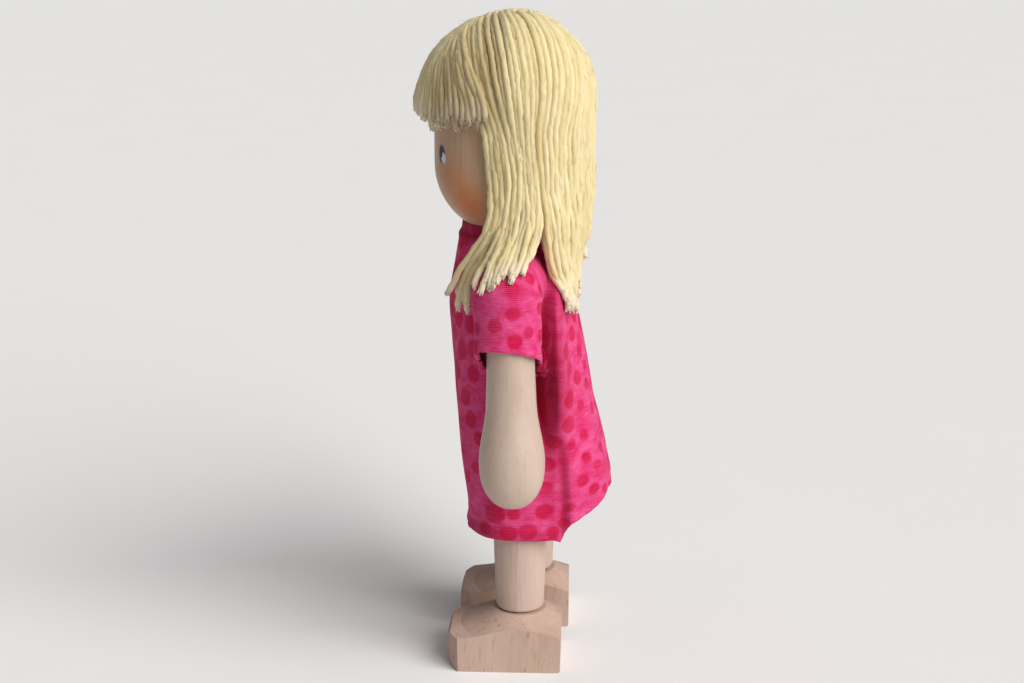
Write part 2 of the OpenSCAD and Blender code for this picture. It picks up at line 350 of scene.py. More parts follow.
valley_a = table([[10, 30], [30, 25], [38, 25], [45, 26.5], [55, 26], [60, 27], [70, 27]], 2)
valley_d = table([[10, 0.0], [31, 0.05], [35, 0.5], [39, 1.7], [43, 2.3], [47, 2.1], [50, 1.7], [53, 1.2], [56, 0.8], [60, 0.7], [63, 0.2], [70, 0]], 1.2)
seam_a = table([[10, 40], [20, 39], [28, 37.5], [36, 35.5], [45, 33.5], [56, 33], [62, 38], [70, 44]], 2)
ridge_h = table([[10, 0.15], [26, 0.2], [32, 0.5], [38, 1.5], [42, 2.2], [48, 2.7], [55, 2.6], [59, 2.0], [62, 1.1], [65, 0.3], [70, 0]], 2)
lump = waves(11, 14, 9, 20)
crease = waves(12, 16, 4.0, 8)

SH = np.array([14.5, 0.75, 60.0])
LEAN = math.radians(7.5)
ARM_DIR = np.array([math.sin(LEAN), 0, -math.cos(LEAN)])
ARM_OUT = np.array([math.cos(LEAN), 0, math.sin(LEAN)])
NECK_Z = 68.1


def body_radius(theta, z):
    """Outer radius of the frock's trunk at angle theta (degrees, 0 at the side, 90 at the back), height z."""
    t = np.radians(theta)
    c, s = np.cos(t), np.sin(t)
    a = half_w(z)
    b = np.where(s < 0, front_d(z), back_d(z))
    n = 2.12
    r = (np.abs(c / a) ** n + np.abs(s / b) ** n) ** (-1 / n)
    va, ra = valley_a(z), seam_a(z)
    lead = np.exp(-(((theta - va) / 18.0) ** 2))
    rise = np.exp(-(((theta - va) / (0.62 * (ra - va))) ** 2))
    r = r - valley_d(z) * np.where(theta < va, lead, rise)
    r = r + ridge_h(z) * np.exp(-(((theta - ra - 0.5) / np.where(theta < ra + 0.5, 5.4, 13.0)) ** 2))
    # side seam: a groove with a soft welt in front of it, and the back panel standing a little proud at the hem
    low = sstep(41, 33, z)
    r = r - 0.24 * low * np.exp(-(((theta - ra) / 2.8) ** 2)) + 0.16 * low * np.exp(-(((theta - ra + 5.5) / 3.2) ** 2))
    r = r + 0.35 * sstep(36, 24, z) * sstep(ra, ra + 4, theta) * sstep(75, 55, theta)
    # soft flutes that open towards the hem, at the back and a little in front
    open_ = sstep(52, 22, z)
    r = r + open_ * 0.45 * np.cos(np.radians((theta - 66) * 9.0)) * sstep(48, 60, theta) * sstep(94, 82, theta)
    r = r + open_ * 0.16 * np.cos(np.radians((theta + 48) * 7.0)) * sstep(-8, -30, theta)
    # neck: a narrow casing above a rolled edge, a little bunched at the middle of the front
    r = r - 0.14 * sstep(66.6, 67.1, z) + 0.10 * np.exp(-(((z - 66.3) / 0.42) ** 2))
    r = r + 0.16 * np.exp(-(((z - 66.25) / 0.45) ** 2)) * np.exp(-(((theta + 90) / 9.0) ** 2))
    r = r + 0.08 * np.sin(np.radians(theta * 9.0 + 20)) * sstep(62, 66, z) * sstep(67.6, 66.8, z)
    # hem: a soft roll where the cotton is turned under
    over = z - hem_height(theta)
    r = r + 0.16 * np.exp(-(((over - 0.55) / 0.5) ** 2)) - 0.10 * np.exp(-(((over - 2.1) / 0.35) ** 2))
    return r


hem_line = table([[-95, 19.2], [-90, 19.2], [-82, 19.22], [-73, 19.45], [-64, 19.8], [-55, 20.2], [-38, 20.9], [-20, 21.3], [-8, 21.4], [5, 21.25], [22, 21.0], [30, 20.95], [33, 20.75], [35.2, 20.45], [37, 20.85], [38.6, 21.3], [40.6, 22.6], [43, 23.05], [47, 23.3], [56, 24.0], [61, 24.7], [67, 25.3], [83, 25.9], [95, 26.0]], 0.35, -95.0, 95.0, 0.1)


def hem_height(theta):
    """Height of the frock's hem at angle theta: lowest in front, a small corner at the side seam, rising behind."""
    return hem_line(np.asarray(theta, float))


def f_body(p):
    x, y, z = p[..., 0], p[..., 1] - YC, p[..., 2]
    rho = np.sqrt(x * x + y * y) + 1e-9
    theta = np.degrees(np.arctan2(y, np.abs(x)))
    return rho - body_radius(theta, z)


def arm_frame(p):
    q = p - SH
    t = q @ ARM_DIR
    w = q @ ARM_OUT
    u = q[..., 1]
    return t, u, w


def f_sleeve(p):
    t, u, w = arm_frame(p)
    # depth grows a little towards the hem, and the top is a rounded arch, fuller at the back
    ru = 4.75 + 0.035 * np.clip(t, 0, 14) - 0.52 * np.clip(t - 8.4, 0, 4.5) * sstep(1.0, -2.0, u)
    rw = np.where(w > 0, 4.40, 8.6) + 0.02 * np.clip(t, 0, 14)
    high = 4.4 + 0.7 * sstep(-2, 4, u)
    arch = (np.abs(u / ru) ** 2.7 + (np.clip(-t, 0, None) / high) ** 2.7) ** (2 / 2.7)
    ang = np.arctan2(u, w)
    fold = 0.13 * np.sin(ang * 3 + t * 0.45 + 0.8) * sstep(-2, 5, t)
    over = sleeve_hem(p)
    roll = 0.14 * np.exp(-(((over + 0.8) / 0.5) ** 2)) - 0.09 * np.exp(-(((over + 2.3) / 0.35) ** 2))
    return (np.sqrt(arch + (w / rw) ** 2) - 1) * 4.5 - fold - roll


def f_shoulder(p):
    """Cloth stretched from the neck to the top of the arm."""
    a, b = np.array([5.0, 0.5, 61.8]), np.array([14.0, 0.7, 60.4])
    ab = b - a
    q = p - a
    t = np.clip((q @ ab) / (ab @ ab), 0, 1)
    d = q - t[..., None] * ab
    r = 4.9 - 0.75 * t
    return np.sqrt((d[..., 0] / 1.0) ** 2 + (d[..., 1] / 1.15) ** 2 + d[..., 2] ** 2) - r


def smin(a, b, k):
    k = np.maximum(k, 1e-4)
    h = np.clip(0.5 + 0.5 * (b - a) / k, 0, 1)
    return b * (1 - h) + a * h - k * h * (1 - h)


def sleeve_hem(p):
    """Positive beyond the sleeve's hem. The hem drops towards the body, more in front than behind."""
    t, u, w = arm_frame(p)
    front = sstep(0.5, -2.5, u)
    s = -(w + 1.0)
    drop = 0.32 * 0.5 * (s + np.sqrt(s * s + 0.8)) * (1 - front) + 2.5 * sstep(3.3, -0.6, w) * front
    return t - (8.0 + 0.024 * np.clip(u, 0, 6) ** 2 + 0.22 * (4.0 - np.clip(w, -6, 5)) + drop)


HEM_CUT = 0.25


def slack(p):
    """Small unevenness of the whole garment."""
    return 0.10 * lump(p) + 0.05 * crease(p)


def f_frock(p):
    fb = f_body(p)
    fs = np.maximum(f_sleeve(p), sleeve_hem(p))
    k = 0.45 + 1.3 * sstep(-1.0, -6.0, sleeve_hem(p))
    f = smin(fb, fs, k)
    f = smin(f, f_shoulder(p), 1.8 * sstep(54, 60, p[..., 2]) + 1e-3)
    return f + slack(p)


def grad(f, p, e=0.05):
    g = np.stack([f(p + np.eye(3)[i] * e) - f(p - np.eye(3)[i] * e) for i in range(3)], -1)
    return g / (np.linalg.norm(g, axis=-1, keepdims=True) + 1e-12)


def isosurface(f, lo, hi, h):
    """Triangles of f = 0 by marching tetrahedra, with shared vertices. lo and hi in mm."""
    lo, hi = np.array(lo, float), np.array(hi, float)
    n = np.ceil((hi - lo) / h).astype(int) + 1
    gx, gy, gz = [lo[i] + h * np.arange(n[i]) for i in range(3)]
    F = np.empty(n)
    for i in range(n[0]):
        P = np.stack(np.meshgrid([gx[i]], gy, gz, indexing="ij"), -1)[0]
        F[i] = f(P)
    flat = F.ravel()

    def idx(i, j, k):
        return (i * n[1] + j) * n[2] + k

    I, J, K = np.meshgrid(*[np.arange(m - 1) for m in n], indexing="ij")
    I, J, K = I.ravel(), J.ravel(), K.ravel()
    corner = {}
    for c in [(a, b, d) for a in (0, 1) for b in (0, 1) for d in (0, 1)]:
        corner[c] = idx(I + c[0], J + c[1], K + c[2])
    vals = np.stack([flat[corner[c]] for c in corner])
    active = (vals.min(0) < 0) & (vals.max(0) >= 0)
    corner = {c: v[active] for c, v in corner.items()}
    e = np.eye(3, dtype=int)
    tris = []
    for a, b, c in [(0, 1, 2), (1, 2, 0), (2, 0, 1), (0, 2, 1), (2, 1, 0), (1, 0, 2)]:
        v = [corner[(0, 0, 0)], corner[tuple(e[a])], corner[tuple(e[a] + e[b])], corner[(1, 1, 1)]]
        V = np.stack(v, 1)
        S = flat[V] < 0
        cnt = S.sum(1)
        for k in (1, 3):
            m = cnt == k
            if m.any():
                Vm, Sm = V[m], S[m]
                odd = np.argmax(Sm if k == 1 else ~Sm, axis=1)
                rest = np.array([[1, 2, 3], [0, 2, 3], [0, 1, 3], [0, 1, 2]])[odd]
                o = np.take_along_axis(Vm, odd[:, None], 1)
                r = np.take_along_axis(Vm, rest, 1)
                tris.append(np.stack([np.stack([o[:, 0], r[:, i]], 1) for i in range(3)], 1))
        m = cnt == 2
        if m.any():
            Vm, Sm = V[m], S[m]
            order = np.argsort(~Sm, axis=1, kind="stable")
            q = np.take_along_axis(Vm, order, 1)
            e02, e03, e12, e13 = [np.stack([q[:, i], q[:, j]], 1) for i, j in ((0, 2), (0, 3), (1, 2), (1, 3))]
            tris.append(np.stack([e02, e03, e13], 1))
            tris.append(np.stack([e02, e13, e12], 1))
    T = np.concatenate(tris)
    T = np.sort(T, axis=2)
    key = T[..., 0].astype(np.int64) * flat.size + T[..., 1]
    uniq, inv = np.unique(key.ravel(), return_inverse=True)
    faces = inv.reshape(-1, 3)
    ia, ib = uniq // flat.size, uniq % flat.size
    G = np.stack(np.unravel_index(ia, n), 1) * h + lo
    H = np.stack(np.unravel_index(ib, n), 1) * h + lo
    fa, fb = flat[ia], flat[ib]
    t = np.clip(fa / (fa - fb), 0.02, 0.98)[:, None]
    verts = G + (H - G) * t
    # face orientation outwards
    fn = np.cross(verts[faces[:, 1]] - verts[faces[:, 0]], verts[faces[:, 2]] - verts[faces[:, 0]])
    cen = verts[faces].mean(1)
    g = grad(f, cen)
    flip = (fn * g).sum(1) < 0
    faces[flip] = faces[flip][:, ::-1]
    return verts, faces


def clip_tris(verts, faces, g):
    """Keeps the part of a triangle mesh where g <= 0, with a clean cut. g is given per vertex."""
    inside = g <= 0
    cnt = inside[faces].sum(1)
    keep = faces[cnt == 3]
    out = [keep]
    new_v = [verts]
    base = len(verts)
    cut = {}
    pts = []

    def edge(i, j):
        a, b = (i, j) if i < j else (j, i)
        if (a, b) not in cut:
            t = g[a] / (g[a] - g[b])
            t = min(max(t, 0.0), 1.0)
            cut[(a, b)] = base + len(pts)
            pts.append(verts[a] + (verts[b] - verts[a]) * t)
        return cut[(a, b)]

    extra = []
    for f in faces[(cnt == 1) | (cnt == 2)]:
        ins = [inside[i] for i in f]
        if sum(ins) == 1:
            k = ins.index(True)
            a, b, c = f[k], f[(k + 1) % 3], f[(k + 2) % 3]
            extra.append((a, edge(a, b), edge(a, c)))
        else:
            k = ins.index(False)
            a, b, c = f[k], f[(k + 1) % 3], f[(k + 2) % 3]
            ab, ac = edge(a, b), edge(a, c)
            extra.append((ab, b, c))
            extra.append((ab, c, ac))
    if pts:
        new_v.append(np.array(pts))
    if extra:
        out.append(np.array(extra))
    V, F = np.concatenate(new_v), np.concatenate(out)
    used, inv = np.unique(F.ravel(), return_inverse=True)
    return V[used], inv.reshape(-1, 3)


def weld(verts, faces, tol=0.02):
    key = np.round(verts / tol).astype(np.int64)
    _, first, inv = np.unique(key, axis=0, return_index=True, return_inverse=True)
    inv = inv.ravel()
    F = inv[faces]
    ok = (F[:, 0] != F[:, 1]) & (F[:, 1] != F[:, 2]) & (F[:, 0] != F[:, 2])
    return verts[first], F[ok]


def relax(verts, faces, f, rounds=4):
    """Evens out the triangles, then puts the points back on f = 0. Border points stay."""
    e = np.concatenate([faces[:, [0, 1]], faces[:, [1, 2]], faces[:, [2, 0]]])
    es = np.sort(e, 1)
    u, c = np.unique(es, axis=0, return_counts=True)
    border = np.zeros(len(verts), bool)
    border[u[c == 1].ravel()] = True
    for _ in range(rounds):
        s = np.zeros_like(verts)
        d = np.zeros(len(verts))
        for a, b in ((0, 1), (1, 0)):
            np.add.at(s, u[:, a], verts[u[:, b]])
            np.add.at(d, u[:, a], 1)
        new = s / np.maximum(d, 1)[:, None]
        new = np.where(border[:, None], verts, 0.5 * verts + 0.5 * new)
        for _ in range(2):
            g = grad(f, new)
            val = f(new)
            new = np.where(border[:, None], new, new - np.clip(val, -0.3, 0.3)[:, None] * g)
        verts = new
    return verts


CELL = 0.45


def frock_mesh():
    lo, hi = (-0.001, -10.8, 17.5), (21.5, 17.2, 70.0)
    V, F = isosurface(f_frock, lo, hi, CELL)
    # open the sleeve: cut just above its closed end
    V, F = clip_tris(V, F, np.minimum(sleeve_hem(V) + HEM_CUT, f_body(V) + slack(V) - 0.26))
    th = np.degrees(np.arctan2(V[:, 1] - YC, np.abs(V[:, 0])))
    V, F = clip_tris(V, F, hem_height(th) - V[:, 2])
    V, F = clip_tris(V, F, V[:, 2] - neck_line(V))
    V, F = clip_tris(V, F, -V[:, 0])
    V[:, 0] = np.where(V[:, 0] < 2e-3, 0, V[:, 0])
    V, F = weld(V, F, 0.02)
    V, F = largest_part(V, F)
    V = relax(V, F, f_frock, 3)
    # both halves
    n = len(V)
    mirror = V * [-1, 1, 1]
    VV = np.concatenate([V, mirror])
    FF = np.concatenate([F, F[:, ::-1] + n])
    seam = np.abs(V[:, 0]) < 1e-6
    remap = np.arange(2 * n)
    remap[n:][seam] = np.arange(n)[seam]
    FF = remap[FF]
    used, inv = np.unique(FF.ravel(), return_inverse=True)
    return VV[used], inv.reshape(-1, 3)


def neck_line(p):
    """Height of the neck's edge, which lies against the underside of the head."""
    rho = np.hypot(p[..., 0], p[..., 1] + 0.9) - 0.42
    return np.minimum(77.0 - np.sqrt(10.75 ** 2 - np.clip(rho, 0, 10) ** 2) + 0.16, NECK_Z + 1.3)


def largest_part(V, F):
    """Drops loose crumbs left by a cut."""
    label = np.arange(len(V))
    for _ in range(400):
        low = label[F].min(1)
        new = label.copy()
        for i in range(3):
            np.minimum.at(new, F[:, i], low)
        new = new[new]
        if (new == label).all():
            break
        label = new
    ids, count = np.unique(label[F[:, 0]], return_counts=True)
    F = F[label[F[:, 0]] == ids[np.argmax(count)]]
    used, inv = np.unique(F.ravel(), return_inverse=True)
    return V[used], inv.reshape(-1, 3)


uneven = waves(21, 12, 10, 24)


def build_frock():
    V, F = frock_mesh()
    # the two halves of a real frock never match, so shift the cloth a little

    def field(p):
        q = np.stack([np.abs(p[:, 0]), p[:, 1], p[:, 2]], 1)
        return f_frock(q)

    N = grad(field, V)
    V = V + N * (0.22 * uneven(V))[:, None] * sstep(64, 58, V[:, 2])[:, None]
    return V, F


def vertex_normals(V, F):
    n = np.cross(V[F[:, 1]] - V[F[:, 0]], V[F[:, 2]] - V[F[:, 0]])
    out = np.zeros_like(V)
    for i in range(3):
        np.add.at(out, F[:, i], n)
    return out / (np.linalg.norm(out, axis=1, keepdims=True) + 1e-12)


def print_coords(V):
    """Where each point of the cloth lay on the flat cotton, in mm: round the trunk by height, and round each sleeve by length."""
    x, y, z = V[:, 0], V[:, 1] - YC, V[:, 2]
    sx = np.where(x < 0, -1.0, 1.0)
    th = np.arctan2(y, x)
    u = th * 11.6
    v = z
    q = np.stack([np.abs(x), V[:, 1], z], 1)
    t, a, w = arm_frame(q)
    ac = np.clip(a, -4.9, 4.9)
    su = np.arctan2(ac, np.sqrt(4.95 ** 2 - ac ** 2)) * 5.0 + np.sign(ac) * np.clip(-w, 0, None) * sstep(3.2, 4.6, np.abs(ac))
    up = np.clip(np.arctan2(np.clip(-t, 0, None), np.clip(w, 0.001, None)), 0, math.pi / 2) * 4.4 + np.clip(-w, 0, None) * (t < 0)
    sleeve = (f_body(q) > f_sleeve(q)) & (sleeve_hem(q) < 0.3)
    u = np.where(sleeve, su * sx + 40 * sx, u)
    v = np.where(sleeve, np.where(t < 0, 60 + up, 60 - t), v)
    return np.stack([u, v, np.zeros_like(u)], 1), sleeve


# the larger dots on the doll's left, in cloth millimetres: across, up, radius
PRINT = [
    (41.3, 61.5, 1.10), (41.4, 58.1, 1.12), (38.7, 56.2, 1.08), (41.7, 54.0, 1.18), (44.1, 55.3, 0.95), (44.0, 64.1, 1.08), (35.2, 55.6, 0.95), (47.1, 64.0, 0.95), (34.6, 52.6, 1.0), (46.8, 58.6, 0.9), (47.4, 54.6, 1.0),
    (10.0, 57.3, 1.3), (14.6, 54.3, 1.15), (12.4, 51.9, 1.15), (9.0, 50.4, 1.3), (14.2, 48.9, 1.0), (9.6, 47.4, 1.25), (12.0, 45.3, 1.15), (14.8, 43.6, 0.9), (15.4, 46.4, 0.8), (11.2, 54.6, 0.9),
    (8.9, 42.9, 1.35), (12.0, 41.0, 0.9), (8.5, 39.2, 1.3), (15.6, 39.5, 0.85), (8.8, 36.0, 0.9), (11.6, 36.6, 0.82), (15.0, 33.6, 0.9), (11.4, 33.2, 0.85), (13.1, 31.6, 0.8), (10.4, 29.9, 1.05),
    (12.2, 28.0, 0.88), (14.6, 27.2, 0.85), (8.4, 26.0, 0.75), (5.0, 29.6, 1.1), (5.0, 25.8, 1.25), (-1.7, 25.4, 1.55), (0.9, 25.6, 0.95), (2.8, 22.7, 1.3), (0.3, 22.5, 1.2), (-3.2, 22.8, 1.0), (6.2, 22.3, 0.95), (7.6, 23.6, 0.8),
    (5.4, 33.2, 1.1), (6.4, 36.6, 1.0), (-7.7, 29.8, 1.1), (-6.6, 39.3, 1.3), (-4.6, 36.6, 1.1), (-8.2, 42.4, 1.4), (-5.0, 32.0, 1.0), (-6.2, 46.4, 1.4), (-9.4, 49.6, 1.6), (-10.6, 54.3, 1.6), (-8.4, 58.5, 1.5),
    (-11.2, 66.0, 1.0), (-7.6, 65.1, 0.9), (-10.8, 62.2, 1.3), (-6.8, 54.0, 1.5), (-6.0, 50.4, 1.4), (-11.3, 45.6, 1.3), (-11.0, 37.5, 1.1), (-11.2, 26.5, 1.0), (-9.4, 33.6, 0.9), (1.0, 29.4, 1.1), (1.6, 34.0, 1.0), (-2.0, 40.0, 1.1), (2.4, 44.0, 1.1), (-1.4, 48.0, 1.0),
]


def cotton():
    m = Nodes("dotted_cotton")
    p = m.attr("cloth")
    uv = m.sep(p)
    # fold: painted shade, 0 to 1, made in frock()
    fold = m.sep(m.attr("fold"))[0]
    # printed dots, loosely scattered, some of them touching
    wob = m.noise(m.mapping(p, (1.3, 1.3, 1)), 1.0, 2.0, 0.6, out="Color")
    jit = m.vmath("SCALE", m.vmath("SUBTRACT", wob, (0.5, 0.5, 0.5)))
    m.t.nodes[-1].inputs["Scale"].default_value = 0.30
    pj = m.vmath("ADD", p, jit)
    d1 = m.voronoi(pj, 1 / 3.55, 0.58, "2D")
    c1 = m.sep(m.voronoi(pj, 1 / 3.55, 0.58, "2D", out="Color"))
    on1 = m.range(c1[0], 0.12, 0.13)
    r1 = m.range(c1[1], 0, 1, 0.325, 0.375, smooth=False)
    dot1 = m.math("MULTIPLY", m.range(m.math("SUBTRACT", d1, r1), 0.075, -0.060), on1)
    p2 = m.mapping(pj, (1, 1, 1), (13.7, 5.2, 0))
    d2 = m.voronoi(p2, 1 / 7.4, 0.9, "2D")
    scatter = m.math("MAXIMUM", dot1, m.range(d2, 0.185, 0.135))
    placed = 0.0
    for du, dv, r in PRINT:
        d = m.vmath("DISTANCE", pj, (du, dv, 0.0), out=1)
        placed = m.math("MAXIMUM", placed, m.range(d, r + 0.28, r - 0.26))
    # whole scattered dots are left out where the placed ones lie
    at = m.sep(m.voronoi(pj, 1 / 3.55, 0.58, "2D", out="Position"))[0]
    trunk_zone = m.math("MULTIPLY", m.range(at, -12.6, -12.5), m.range(at, 16.6, 16.5))
    sleeve_zone = m.math("MULTIPLY", m.range(at, 30.9, 31.0), m.range(at, 49.1, 49.0))
    dots = m.math("MAXIMUM", m.math("MULTIPLY", scatter, m.math("SUBTRACT", 1.0, m.math("ADD", trunk_zone, sleeve_zone))), placed)
    # threads: ribs across, finer threads down
    warp = m.noise(m.mapping(p, (0.35, 0.35, 1)), 1.0, 2.0, 0.5)
    rib_in = m.math("ADD", m.math("MULTIPLY", uv[1], 2 * math.pi / 0.29), m.math("MULTIPLY", warp, 6.0))
    rib = m.math("SINE", rib_in)
    thr = m.math("SINE", m.math("ADD", m.math("MULTIPLY", uv[0], 2 * math.pi / 0.34), m.math("MULTIPLY", warp, 4.0)))
    slub = m.noise(m.mapping(p, (0.5, 4.5, 1)), 1.0, 3.0, 0.6)
    mott = m.noise(m.mapping(p, (0.30, 0.38, 1)), 1.0, 3.0, 0.6)
    show = m.noise(m.mapping(p, (0.22, 0.22, 1), (7, 3, 0)), 1.0, 2.0, 0.5)
    pale = m.mix(m.range(mott, 0.30, 0.70), srgb(204, 34, 96), srgb(218, 78, 136))
    pale = m.mix(m.math("MULTIPLY", m.range(slub, 0.52, 0.75), 0.40), pale, srgb(234, 132, 176))
    pale = m.mix(m.math("MULTIPLY", m.range(slub, 0.46, 0.25), 0.35), pale, srgb(196, 28, 92))
    deep = m.mix(m.range(slub, 0.3, 0.7), srgb(184, 4, 56), srgb(204, 14, 74))
    fade = m.noise(m.mapping(p, (0.33, 0.33, 1), (2, 9, 0)), 1.0, 2.0, 0.5)
    col = m.mix(m.math("MULTIPLY", dots, m.range(fade, 0.35, 0.65, 0.74, 0.95)), pale, deep)
    # painted shade: where fold is high the cotton turns deep crimson and loses its light threads
    col = m.mix(m.math("MULTIPLY", fold, 0.92), col, srgb(146, 2, 38))
    ribs = m.math("MULTIPLY", m.range(rib, -0.2, 1, 0, 1), m.range(show, 0.35, 0.7, 0.05, 0.30))
    col = m.mix(m.math("MULTIPLY", ribs, m.math("SUBTRACT", 1.0, fold)), col, m.mix(0.35, col, (0.95, 0.36, 0.58)))
    h = m.math("ADD", m.math("MULTIPLY", rib, 0.5), m.math("MULTIPLY", thr, 0.3))
    h = m.math("ADD", h, m.math("MULTIPLY", slub, 1.0))
    m.set(Base_Color=col, Roughness=0.88)
    m.link(m.bump(h, 0.40, 0.00005), m.bsdf.inputs["Normal"])
    m.bsdf.inputs["Sheen Weight"].default_value = 0.05
    m.bsdf.inputs["Sheen Roughness"].default_value = 0.5
    m.bsdf.inputs["Sheen Tint"].default_value = (1.0, 0.70, 0.82, 1)
    m.bsdf.inputs["Specular IOR Level"].default_value = 0.15
    return m.mat


def smooth_normals_from(ob, N):
    ob.data.normals_split_custom_set_from_vertices(N.tolist())


def frock():
    V, F = build_frock()
    N = vertex_normals(V, F)
    n = len(V)
    edge = np.concatenate([F[:, [0, 1]], F[:, [1, 2]], F[:, [2, 0]]])
    key = np.sort(edge, 1)
    u, first, c = np.unique(key, axis=0, return_index=True, return_counts=True)
    rim = edge[first[c == 1]]
    th = np.degrees(np.arctan2(V[:, 1] - YC, np.abs(V[:, 0])))
    q = np.stack([np.abs(V[:, 0]), V[:, 1], V[:, 2]], 1)
    coords, sleeve = print_coords(V)
    near = np.minimum(np.where(sleeve, -sleeve_hem(q) - HEM_CUT, 9), V[:, 2] - hem_height(th))
    near = np.minimum(near, neck_line(V) - V[:, 2])
    neck = neck_line(V) - V[:, 2]
    thick = 0.36 + 0.34 * sstep(1.3, 0.4, near) * sstep(2.0, 4.0, neck)
    # thin where the sleeve runs into the trunk, so that the two inner walls don't cross
    joint = np.minimum(sstep(2.2, 0.6, np.abs(f_body(q))), sstep(2.2, 0.6, np.abs(f_sleeve(q)))) * (V[:, 2] > 46) * (V[:, 2] < 66)
    thick = thick * (1 - 0.55 * joint)
    inner = V - N * thick[:, None]
    inner[:, 2] -= 0.06 * sstep(0.4, 0.0, neck)
    VV = np.concatenate([V, inner])
    FF = np.concatenate([F, F[:, ::-1] + n])
    quads = np.stack([rim[:, 1], rim[:, 0], rim[:, 0] + n, rim[:, 1] + n], 1)
    coords2 = np.concatenate([coords, coords])
    # painted shade: the cotton's colour is darkened in the fold behind each arm, along the lower side seam, at the neck
    # under the head and in a band just above the hem in front of the side seam
    fold = (valley_d(V[:, 2]) / 2.3) ** 0.6 * np.exp(-(((th - valley_a(V[:, 2]) - 0.5) / np.where(th > valley_a(V[:, 2]) + 0.5, 12.5, 7.5)) ** 2)) * ~sleeve
    fold = np.maximum(fold, 0.80 * sstep(41, 35, V[:, 2]) * np.exp(-(((th - seam_a(V[:, 2]) - 0.5) / 4.0) ** 2)))
    fold = np.maximum(fold, 0.65 * sstep(64.6, 67.0, V[:, 2]))
    fold = np.maximum(fold, 0.42 * sstep(2.6, 0.8, V[:, 2] - hem_height(th)) * sstep(40, 34, th) * sstep(-62, -30, th))
    painted_shade2 = np.tile(fold, 2)
    fb, fs = f_body(q), f_sleeve(q)
    # how far each point follows the arm, or the leg
    w_arm = np.where(sleeve, sstep(0.0, 3.0, fb - fs), 0.0)
    w_arm = np.where(V[:, 2] > 66, 0, w_arm)
    zhip = sstep(37.6, 27.5, V[:, 2])
    side = sstep(0.3, 3.6, np.abs(V[:, 0]))
    fore = sstep(75, 15, th) * 0.88 + 0.12
    w_leg = zhip * side * fore
    w_arm2, w_leg2 = np.tile(w_arm, 2), np.tile(w_leg, 2)
    cen = V[F].mean(1)
    fsleeve = sleeve[F].all(1) & (cen[:, 2] > 46)
    low_f = cen[:, 2] < 38.0
    group = np.where(fsleeve, 1, np.where(low_f, 2, 0)) * 2 + (cen[:, 0] < 0)
    nf = len(F)
    face_of = np.tile(np.arange(nf), 3)
    rim_set = {(a, b) for a, b in rim.tolist()}
    group_q = group[face_of[first[c == 1]]]
    NN = np.concatenate([N, -N])
    mat = cotton()
    made = {}
    for name, ids, weights in (
        ("frock_trunk", (0, 1), None),
        ("left_sleeve_cloth", (2,), w_arm2),
        ("right_sleeve_cloth", (3,), w_arm2),
        ("left_skirt", (4,), w_leg2),
        ("right_skirt", (5,), w_leg2),
    ):
        mine = np.isin(group, ids)
        tri = np.concatenate([F[mine], F[mine][:, ::-1] + n])
        # walls that close the piece where it meets the next one
        ed = np.concatenate([F[mine][:, [0, 1]], F[mine][:, [1, 2]], F[mine][:, [2, 0]]])
        _, fi, ct = np.unique(np.sort(ed, 1), axis=0, return_index=True, return_counts=True)
        cut = np.array([e for e in ed[fi[ct == 1]].tolist() if tuple(e) not in rim_set], int).reshape(-1, 2)
        wall = np.stack([cut[:, 1], cut[:, 0], cut[:, 0] + n, cut[:, 1] + n], 1)
        area = 0.5 * np.linalg.norm(np.cross(V[F[mine][:, 1]] - V[F[mine][:, 0]], V[F[mine][:, 2]] - V[F[mine][:, 0]]), axis=1).sum()
        print("CLOTH", name, "mm2", round(float(area)))
        quad = np.concatenate([quads[np.isin(group_q, ids)], wall])
        used = np.unique(np.concatenate([tri.ravel(), quad.ravel()]))
        back = -np.ones(len(VV), int)
        back[used] = np.arange(len(used))
        ob = make_mesh(name, VV[used], [list(t) for t in back[tri]] + [list(t) for t in back[quad]])
        add_attr(ob, "cloth", coords2[used])
        # the painted shade goes into the "fold" attribute
        add_attr(ob, "fold", np.repeat(painted_shade2[used][:, None], 3, axis=1))
        # outer and inner walls keep the whole garment's normals; the rims keep their own
        me = ob.data
        loops_v = np.zeros(len(me.loops), int)
        me.loops.foreach_get("vertex_index", loops_v)
        ln = NN[used][loops_v]
        nt = len(tri) * 3
        fnorm = np.zeros(len(me.polygons) * 3)
        me.polygons.foreach_get("normal", fnorm)
        fnorm = fnorm.reshape(-1, 3)
        if len(quad):
            qn = np.repeat(fnorm[len(tri):], 4, axis=0)
            ln[nt:] = 0.55 * qn + 0.45 * ln[nt:]
            ln[nt:] /= np.linalg.norm(ln[nt:], axis=1, keepdims=True) + 1e-12
        me.normals_split_custom_set(ln.tolist())
        me.materials.append(mat)
        made[name] = (ob, used, weights)
    return made


made = frock()
print("FROCK", {k: (len(v[0].data.vertices), len(v[0].data.polygons)) for k, v in made.items()})


trunk = made["frock_trunk"][0]
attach(trunk, "torso")
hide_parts("bodice", "neck_hem")
for side, sx in (("left", 1), ("right", -1)):
    ob, used, w = made[f"{side}_sleeve_cloth"]
    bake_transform(ob)
    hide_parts(f"{side}_sleeve")
    ob, used, w = made[f"{side}_skirt"]
    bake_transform(ob)
    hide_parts("skirt")

# ------------------------------------------------------------------ yarn hair
HC = np.array([0.0, -0.8, 87.1])
YARN_R = 0.50
LOCK_CUT = 66.4
# how far the outermost strands lie from the head's upper centre, by angle in the middle plane: 0 is straight back, 90 up, 180 straight front
crown = table([[-30, 13.2], [2, 13.15], [25, 13.1], [48, 12.85], [68, 12.9], [77, 12.7], [86, 12.5], [99, 12.15], [109, 12.0], [121, 11.9], [132, 12.05], [145, 12.4], [155, 12.6], [173, 12.8], [182, 13.2], [190, 13.5], [210, 13.2]], 2.0, -40.0, 220.0, 0.5)

